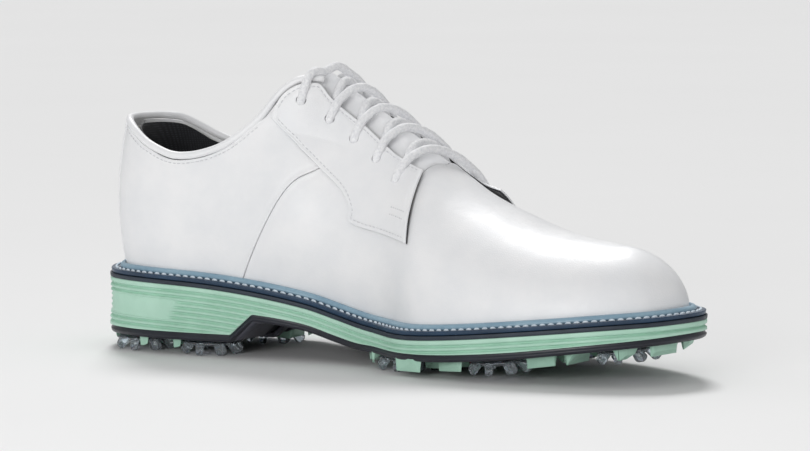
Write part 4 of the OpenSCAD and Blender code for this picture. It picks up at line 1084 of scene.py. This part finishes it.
def spike_mesh():
    verts, faces = [], []

    def add(v, f):
        base = len(verts)
        verts.extend(v)
        faces.extend([tuple(i + base for i in t) for t in f])

    def scalloped(r, z, t):
        lobe = 0.5 + 0.5 * math.cos(ARMS * t)
        return (r - 0.9 * (1 - lobe) if r > 12 else r), z

    flange = [(4.6, -1.26), (13.2, -1.26), (13.9, -1.45), (13.9, -1.8), (13.2, -2.05), (9.6, -2.25),
              (9.3, -3.0), (8.8, -3.25), (8.3, -3.1), (8.2, -2.0), (4.6, -2.0), (4.6, -1.26)]
    add(*turned(flange, 96, scalloped))
    stem = [(0.01, -1.3), (4.45, -1.3), (4.45, 4.2), (4.0, 4.6), (0.01, 4.6), (0.01, -1.3)]
    add(*turned(stem, 32))
    side = arm_profile()
    mid = side.mean(0)
    layers = ((-1.0, 0.80), (-0.82, 0.93), (-0.5, 1.0), (0.5, 1.0), (0.82, 0.93), (1.0, 0.80))
    for arm in range(ARMS):
        v = []
        for w, grow in layers:
            for r, z in mid + (side - mid) * grow:
                out = (r - 8) / 6.5
                half = mix(1.35, 1.95, min(max(out, 0), 1))
                turn = 2 * math.pi * arm / ARMS + 0.16 * out * out
                x, y = r, w * half
                c, s = math.cos(turn), math.sin(turn)
                v.append((x * c - y * s, x * s + y * c, z))
        n, m = len(layers), len(side)
        add(v, loft_faces(n, m) + end_faces(n, m))
    return bare_mesh("spike_shape", verts, faces, CLEAR, weld=0.001)


def core_mesh():
    """Frosted centre: a shallow dome with faint facets and a ring of small pits."""
    count = 112
    radii = [*np.linspace(0.02, 6.0, 12), *np.linspace(6.3, 7.6, 9), 7.8, 7.98, CORE_R, CORE_R, 7.9]
    pits = [(PIT_R * math.cos(q), PIT_R * math.sin(q)) for q in np.pi * (np.arange(ARMS) + 0.5) * 2 / ARMS]
    verts = []
    for i, r in enumerate(radii):
        rim_drop = max(r - 7.5, 0)
        z = -3.5 + 0.011 * r * r + 0.45 * rim_drop ** 1.5
        if i >= len(radii) - 2:
            z = -2.45 if i == len(radii) - 2 else -2.1
        for j in range(count):
            t = 2 * math.pi * j / count
            facet = 0.07 * (r / 8) * abs(math.sin(8 * t)) if i < len(radii) - 2 else 0
            pit = 0
            if i < len(radii) - 2:
                near = min(math.hypot(r * math.cos(t) - x, r * math.sin(t) - y) for x, y in pits)
                pit = 0.6 * math.exp(-(near / 0.42) ** 4)
            verts.append((r * math.cos(t), r * math.sin(t), z + facet + pit))
    n = len(radii)
    return bare_mesh("core_shape", verts, loft_faces(n, count) + end_faces(n, count), FROST)


def make_spikes():
    arms, centre = spike_mesh(), core_mesh()
    for i, name in enumerate(SPIKE_NAMES):
        for label, shape, node, slot_name in (("cleat", arms, "spike", "clear_tpu"),
                                              ("cleat_core", centre, "core", "frosted_tpu")):
            obj = bpy.data.objects.new(f"{label}_{name}", shape)
            bpy.context.scene.collection.objects.link(obj)
            obj.matrix_world = spike_place(i)
            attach(obj, "spike_" + name)
            finish_piece(f"{node}_{i + 1}", slot_name)


# ---------------------------------------------------------------- upper
SEAM = (83.2, 125.0, 90.5)
VAMP_LO = [(0, SEAM[0] + 0.1, 0), (0.5, 190, 0), (0.8, 262, 0), (1, 300, 0)]
VAMP_HI = [(0, SEAM[1] + 0.1, SEAM[2]), (0.15, 142, 80), (0.26, 160, 74.5), (0.3, 168, 79),
           (0.32, 168.6, 85), (0.35, 169, HIGH), (0.5, 204, HIGH), (0.75, 255, HIGH), (1, 300, HIGH)]
VAMP_SKEW = [(0, 0), (0.15, 12), (0.26, 16), (0.3, 12), (0.32, 9), (0.35, 0), (1, 0)]
LINER_LO = [(0, 127, 0), (0.5, 210, 0), (0.8, 268, 0), (1, 300, 0)]
LINER_HI = [(0, 127, 102.5), (0.25, 157, 85), (0.3, 166, 80), (0.38, 178, HIGH), (0.7, 248, HIGH),
            (1, 300, HIGH)]
TOP_CLEAR = 3.7
QUARTER_LO = [(0, 0.4, 0), (0.2, 8, 0), (0.5, 36, 0), (1, SEAM[0] - 0.1, 0)]
QUARTER_HI = [(0, 0.4, HEEL_H - TOP_CLEAR), (0.14, 12, HEEL_H - 2 - TOP_CLEAR), (0.3, 30, 96 - TOP_CLEAR),
              (0.45, 50, 91 - TOP_CLEAR), (0.6, 73, 97 - TOP_CLEAR), (0.72, 90, 110.3 - TOP_CLEAR),
              (0.77, 97, 112), (0.84, 106, 103), (1, SEAM[1] - 0.1, SEAM[2])]
STAY_LO = [(0, 0, 1), (1, 3.4, 1)]
STAY_HI = [(0, 0, HEEL_H - TOP_CLEAR), (1, 2.4, HEEL_H - TOP_CLEAR - 0.5)]
BACK_LO = [(0, 0, 0), (0.2, 8, 0), (0.45, 36, 0), (1, 126, 0)]
BACK_HI = [(0, 0, HEEL_H - TOP_CLEAR), (0.12, 12, HEEL_H - 2 - TOP_CLEAR), (0.25, 30, 96 - TOP_CLEAR),
           (0.4, 50, 91 - TOP_CLEAR), (0.58, 73, 97 - TOP_CLEAR), (0.74, 92, 112.5 - TOP_CLEAR),
           (0.88, 108, 117), (1, 126, 103)]
FACING_LO = [(0, 94.2, 106.8), (0.11, 101.5, 100.7), (0.22, 108.4, 94.5), (0.33, 115, 88.4),
             (0.44, 121.7, 82.6), (0.55, 128.6, 76.8), (0.62, 132.1, 72.6), (0.67, 134.6, 67.6),
             (0.71, 135.3, 62.8), (0.85, 151, 59), (1, 169.2, 55.8)]
FACING_HI = [(0, 94.6, 110), (0.12, 97.5, 116.5), (0.22, 102.5, 121), (0.29, 107.5, 122.3),
             (0.36, 113, 120.5), (0.6, 132, 105), (0.82, 151, 92), (1, 165.8, 84.6)]
SKEW = 19.0
FACING_SKEW = [(0, 0), (0.12, 0), (0.29, 5), (0.36, 8.5), (0.6, 14), (0.8, SKEW), (1, SKEW)]
TONGUE_LO = [(0, 104, 108), (0.5, 140, 78), (1, 182, 58)]
TONGUE_HI = [(0, 102, HIGH), (0.5, 142, HIGH), (1, 186, HIGH)]
TONGUE_IN, TONGUE_PAD = -6.6, 3.6
EYELET_X, EYELET_Z = (106.5, 154.6), (115, 81.9)
ROWS = 5
LACE_D = 3.8


def flat(d0, d1):
    return lambda k, s, a: (np.full(s.shape, d0), np.full(s.shape, d1))


def skin_depth(k, s, a):
    """Outer leather: faint soft waves over a smooth last."""
    p = dome(k, s, a)
    return 0.16 * soft_noise(p, 46, 3) + 0.05 * soft_noise(p, 17, 4), np.full(s.shape, -1.5)


def deeper(k, s, a):
    """How far the lining sits in from a plain offset, for foam at the collar and room at the throat."""
    u = edge(k, s)[..., 0]
    rise = (dome(k, s, a)[..., 2] - foot_z(u)) / 68
    return -3 * np.minimum(rise, 1) ** 2 * (1 - ramp(u, 70, 100)) - 1.6 * ramp(u, 88, 108) * (
        1 - ramp(u, 160, 178)) * ramp(a, 22, 40)


def lining_depth(k, s, a):
    d = deeper(k, s, a)
    return d - 3.3, d - 4.0


def make_upper_skin():
    vamp = sheet("vamp_skin", WHITE, VAMP_LO, VAMP_HI, skin_depth, na=150, nb=64, warp=1.1, edge_r=0.6,
                 skew=VAMP_SKEW)
    finish_piece("vamp", "white_leather")
    for k, name in ((INNER, "medial"), (OUTER, "lateral")):
        q = sheet(name + "_quarter_skin", WHITE, QUARTER_LO, QUARTER_HI, skin_depth, na=110, nb=60, warp=1.1,
                  sides=(k,), edge_r=0.6)
        finish_piece(name + "_quarter", "white_leather")
    stay = sheet("backstay_strip", WHITE, STAY_LO, STAY_HI, flat(1.15, 0.0), na=16, nb=60, edge_r=0.8)
    finish_piece("backstay", "white_leather")


def make_linings():
    front = sheet("vamp_lining_skin", LINING, LINER_LO, LINER_HI, lining_depth, na=60, nb=30, edge_r=0.3)
    finish_piece("vamp_lining", "dark_lining")
    back = sheet("quarter_lining_skin", LINING, BACK_LO, BACK_HI, lining_depth, na=80, nb=40, edge_r=0.3)
    finish_piece("quarter_lining", "dark_lining")


def eyelet(k, i):
    t = i / (ROWS - 1)
    x = mix(EYELET_X[0], EYELET_X[1], t)
    a = float(climb(k, station_of(x), mix(EYELET_Z[0], EYELET_Z[1], t)))
    return float(station_of(x + (mix(8.0, SKEW, t) if k == OUTER else 0))), a


def eye_at(k, i, d):
    s, a = eyelet(k, i)
    return wall(k, np.array(s), np.array(a), np.array(d))


def eyelet_cutter(k, r):
    """Round pegs that cut the lace holes, one a row."""
    sides = 24
    turns = np.linspace(0, 2 * np.pi, sides, endpoint=False)
    verts, faces = [], []
    for i in range(ROWS):
        lo, hi = eye_at(k, i, -1.0), eye_at(k, i, 4.0)
        axis = unit(hi - lo)
        u = unit(np.cross(axis, [0, 0, 1.0]))
        v = np.cross(axis, u)
        base = len(verts)
        for c in (lo, hi):
            verts += [c + (u * math.cos(t) + v * math.sin(t)) * r for t in turns]
        faces += [tuple(base + j for j in f) for f in loft_faces(2, sides) + end_faces(2, sides)]
    return mesh_object("eyelet_cutter", np.array(verts), faces, WHITE)


def facing_lift(k, s, a):
    """How far a facing stands off the vamp along its front and throat edges."""
    u = edge(k, s)[..., 0] - (SKEW if k == OUTER else 0)
    front = (2.4 if k == OUTER else 1.3) * ramp(u, 154, 170) * ramp(a, 24, 44)
    return np.maximum(front, 0.3 * ramp(a, 57, 67))


def facing_depth(k, s, a):
    lift = facing_lift(k, s, a)
    return 1.65 + lift + 0.08 * soft_noise(dome(k, s, a), 24, 6), 0.72 + lift


# Dark sheet under each facing. It is thicker where the facing stands off the vamp, so the gap under that
# edge shows dark.
def facing_back_depth(k, s, a):
    lift = facing_lift(k, s, a)
    return 0.68 + lift, np.where(lift > 0.05, 0.16 + 0.8 * lift, 0.45)


def make_facings():
    for k, name in ((INNER, "medial"), (OUTER, "lateral")):
        f = sheet(name + "_facing_skin", WHITE, FACING_LO, FACING_HI, facing_depth, na=150, nb=46, warp=0.9,
                  sides=(k,), edge_r=0.6, skew=FACING_SKEW)
        b = sheet(name + "_facing_back", LINING, FACING_LO, FACING_HI, facing_back_depth, na=100, nb=30,
                  warp=0.9, sides=(k,), edge_r=0.2, skew=FACING_SKEW)
        for piece in (f, b):
            cut(piece, eyelet_cutter(k, 2.3))
        finish_piece(name + "_facing", "white_leather")


def top_point(k, x, d=-0.9, drop=1.7):
    s = np.array(float(station_of(x)))
    return wall(k, s, climb(k, s, curve(COLLAR, x) - drop), np.array(d))


def make_collar():
    xs = [113, 109, 104, 99, 94.5, 89, 82, 73, 64, 55, 46, 37, 28, 19, 11, 5, 2]
    mid = (top_point(OUTER, 0.2) + top_point(INNER, 0.2)) / 2
    path = [top_point(INNER, x) for x in xs] + [mid] + [top_point(OUTER, x) for x in xs[::-1]]
    obj = tube("collar_roll", WHITE, path, 1.75, sides=20, step=1.0)
    finish_piece("collar_binding", "white_leather")


def plump(k, s, a):
    return 5.2 * ramp(a, 52, 64) * (1 - ramp(edge(k, s)[..., 0], 166, 178))


def tongue_depth(k, s, a):
    p = plump(k, s, a)
    quilt = 0.25 * soft_noise(dome(k, s, a, True), 22, 9)
    return TONGUE_IN + p + quilt, TONGUE_IN - TONGUE_PAD + p


def tongue_lining_depth(k, s, a):
    p = plump(k, s, a)
    return TONGUE_IN - TONGUE_PAD - 0.35 + p, TONGUE_IN - TONGUE_PAD - 1.05 + p


def make_tongue():
    t = sheet("tongue_pad", WHITE, TONGUE_LO, TONGUE_HI, tongue_depth, na=80, nb=40, tongue=True,
              edge_r=1.8, body="tongue")
    finish_piece("tongue", "white_leather")
    u = sheet("tongue_back", LINING, TONGUE_LO, TONGUE_HI, tongue_lining_depth, na=50, nb=30, tongue=True,
              edge_r=0.3, body="tongue")
    finish_piece("tongue_lining", "dark_lining")


def over(i, j, t, d):
    """Point over the tongue, from inner eyelet i at t = 0 to outer eyelet j at t = 1."""
    (s0, a0), (s1, a1) = eyelet(INNER, i), eyelet(OUTER, j)
    s = np.array(mix(s0, s1, t))
    k, a = (INNER, mix(a0, 90, 2 * t)) if t < 0.5 else (OUTER, mix(90, a1, 2 * t - 1))
    a = np.array(min(a, 89.9))
    return mix(wall(k, s, a, np.array(d)), wall(k, s, a, np.array(d), True), ramp(a, 56, 78))


def lace_path():
    """One lace: bars over the tongue from side to side, joined by runs under the facings."""
    points = []
    for i in range(ROWS - 1, -1, -1):
        points += [eye_at(OUTER, i, -1.2), eye_at(OUTER, i, 1.2)]
        for t in (0.9, 0.8, 0.65, 0.5, 0.35, 0.2, 0.1):
            points.append(over(i, i, t, 2.7 + 0.5 * math.sin(math.pi * t) ** 2))
        points += [eye_at(INNER, i, 1.2), eye_at(INNER, i, -1.2)]
        if i > 0:
            points += [over(i, i - 1, t, -1.8 + 2.2 * ramp(1 - 2 * abs(t - 0.5), 0.15, 0.7))
                       for t in (0.12, 0.3, 0.5, 0.7, 0.88)]
    return points


def make_laces():
    obj = tube("lace_run", LACE, lace_path(), LACE_D / 2, sides=24, braid=0.05, pitch=5.5, step=0.4)
    finish_piece("lace", "lace_cord")


def tab_rows(k):
    """Two short stitch rows across the foot of a facing."""
    rows = []
    for z in (66.6, 69.6):
        p, n = along(k, [(0, 156, z + 0.6), (1, 165.5, z - 1.4)], 40, facing_depth, [(0, SKEW), (1, SKEW)])
        rows.append(stitch_row(p, n, 1.5, 1.1, 0.24, 0.12))
    return rows


def make_upper_stitching():
    rows = []
    for k in (OUTER, INNER):
        p, n = along(k, FACING_LO, 300, facing_depth, FACING_SKEW)
        q = shifted(p, n, -1.9 * k)
        rows.append(stitch_row(q[8:-6], n[8:-6], 2.3, 1.75, 0.22, 0.16))
        rows += tab_rows(k)
        p, n = along(k, FACING_HI, 240, facing_depth, FACING_SKEW)
        q = shifted(p, n, 1.9 * k)
        rows.append(stitch_row(q[8:-4], n[8:-4], 2.3, 1.75, 0.22, 0.16))
        p, n = along(k, QUARTER_HI, 320, skin_depth)
        q = shifted(p, n, 1.6 * k)
        keep = int(len(q) * 0.7)
        rows.append(stitch_row(q[6:keep], n[6:keep], 2.3, 1.75, 0.22, 0.14))
    obj = stitches("upper_stitching", WHITE_THREAD, rows)


def make_sock_liner():
    """Cupped foot bed lying on the insole board."""
    top = EDGE_T + WELT_T

    def side(k, s):
        depth = np.array([13.6, 13.35, 13.3, 13.5, 14.2])
        dz = np.array([0.06, 0.4, 3.0, 3.7, 3.95])
        x = edge(k, s)[:, 0][:, None]
        return rim(k, s, np.repeat(depth[None], len(s), 0), mid_top(x) + top + dz[None, :])

    def cup(x, y):
        return mid_top(x) + top + 3.95 - 0.9 * np.exp(-(((x - 45) / 26) ** 2 + (y / 17) ** 2))

    obj = slab("foot_bed", SOCK, side, count=150, across=26, top=cup, body="sock_liner")
    finish_piece("sock_liner", "sock_fabric")


def finish_node(node, material, slot_name):
    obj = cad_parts[node]
    obj.data.materials.clear()
    obj.data.materials.append(material)


def finish_hidden_nodes():
    for node, material, slot_name in (
            ("spike_receptacles", SOCKET, "receptacle_plastic"), ("shank", STEEL, "spring_steel"),
            ("insole_board", FIBRE, "fibre_board"), ("collar_padding", FOAM, "foam"),
            ("heel_counter", COUNTER, "counter_board"), ("toe_puff", PUFF, "puff_board"),
            ("aglets", TIP, "aglet_plastic")):
        finish_node(node, material, slot_name)


# ---------------------------------------------------------------- stage
VIEW_AZ, VIEW_EL = math.radians(30.0), math.radians(5.4)
VIEW_DIST, VIEW_AIM = 1.9, (150, -3, 60)
LENS = 190
BACKDROP = 0.871
FLOOR_TONE, FLOOR_REACH = 233, 30.0
SKY_LOW, SKY_HIGH = 0.24, 0.5
KEY_FROM = (-0.42, 0.63, 0.85)
KEY_POWER, FILL_POWER = 1.8, 12.5


def make_stage():
    """Wide pale floor."""
    p = Paint("studio_paper", 0.9)
    tone = rgb(FLOOR_TONE, FLOOR_TONE, FLOOR_TONE)
    p.colour(p.tint(p.noise(3, 3), tone, tuple(c * 1.01 for c in tone)))
    p.bump(p.noise(600, 3), 0.00002)
    verts = [(x * FLOOR_REACH, y * FLOOR_REACH, 0) for x, y in ((-1, -1), (1, -1), (1, 1), (-1, 1))]
    me = bpy.data.meshes.new("studio_floor")
    me.from_pydata(verts, [], [(0, 1, 2, 3)])
    me.materials.append(p.mat)
    floor = bpy.data.objects.new("studio_floor", me)
    bpy.context.scene.collection.objects.link(floor)


def area_light(name, spot, aim, size, power, tone=(1, 1, 1)):
    data = bpy.data.lights.new(name, "AREA")
    data.shape = "RECTANGLE"
    data.size, data.size_y = size
    data.energy = power
    data.color = tone
    obj = bpy.data.objects.new(name, data)
    obj.location = spot
    obj.rotation_mode = "QUATERNION"
    obj.rotation_quaternion = (Vector(aim) - Vector(spot)).to_track_quat("-Z", "Y")
    bpy.context.scene.collection.objects.link(obj)


def make_lights():
    """A soft sky, brighter overhead, a broad key light from behind and a fill from the front left."""
    world = bpy.data.worlds.new("studio")
    world.use_nodes = True
    tree = world.node_tree
    where = tree.nodes.new("ShaderNodeTexCoord")
    split = tree.nodes.new("ShaderNodeSeparateXYZ")
    reach = tree.nodes.new("ShaderNodeMapRange")
    seen = tree.nodes.new("ShaderNodeLightPath")
    choose = tree.nodes.new("ShaderNodeMix")
    tree.links.new(where.outputs["Generated"], split.inputs[0])
    tree.links.new(split.outputs["Z"], reach.inputs["Value"])
    for name, value in (("From Min", 0.0), ("From Max", 0.5), ("To Min", SKY_LOW), ("To Max", SKY_HIGH)):
        reach.inputs[name].default_value = value
    tree.links.new(seen.outputs["Is Camera Ray"], choose.inputs["Factor"])
    tree.links.new(reach.outputs["Result"], choose.inputs["A"])
    choose.inputs["B"].default_value = BACKDROP
    tree.links.new(choose.outputs["Result"], tree.nodes["Background"].inputs["Strength"])
    tree.nodes["Background"].inputs["Color"].default_value = (1, 1, 1, 1)
    bpy.context.scene.world = world
    sun = bpy.data.lights.new("key", "SUN")
    sun.energy, sun.angle = KEY_POWER, math.radians(18)
    obj = bpy.data.objects.new("key", sun)
    obj.rotation_mode = "QUATERNION"
    obj.rotation_quaternion = Vector(KEY_FROM).to_track_quat("Z", "Y")
    bpy.context.scene.collection.objects.link(obj)
    area_light("front_fill", (0.2, -1.9, 0.5), (-0.03, 0, 0.05), (0.9, 0.5), FILL_POWER)
    bpy.context.scene.view_settings.view_transform = "Standard"


def make_camera():
    data = bpy.data.cameras.new("camera")
    data.sensor_width = 36
    data.lens = LENS
    data.clip_start, data.clip_end = 0.05, 30
    cam = bpy.data.objects.new("camera", data)
    bpy.context.scene.collection.objects.link(cam)
    target = Vector(place(VIEW_AIM).tolist())
    level = math.cos(VIEW_EL)
    back = Vector((math.sin(VIEW_AZ) * level, -math.cos(VIEW_AZ) * level, math.sin(VIEW_EL)))
    cam.location = target + back * VIEW_DIST
    cam.rotation_mode = "QUATERNION"
    cam.rotation_quaternion = (-back).to_track_quat("-Z", "Y")
    bpy.context.scene.camera = cam


make_midsole()
make_welt_layers()
make_welt_stitching()
make_outsole()
make_lugs()
make_bridge()
make_badge()
make_breast_pads()
make_spikes()
make_upper_skin()
make_linings()
make_facings()
make_collar()
make_tongue()
make_laces()
make_upper_stitching()
make_sock_liner()
finish_hidden_nodes()
make_stage()
make_lights()
make_camera()
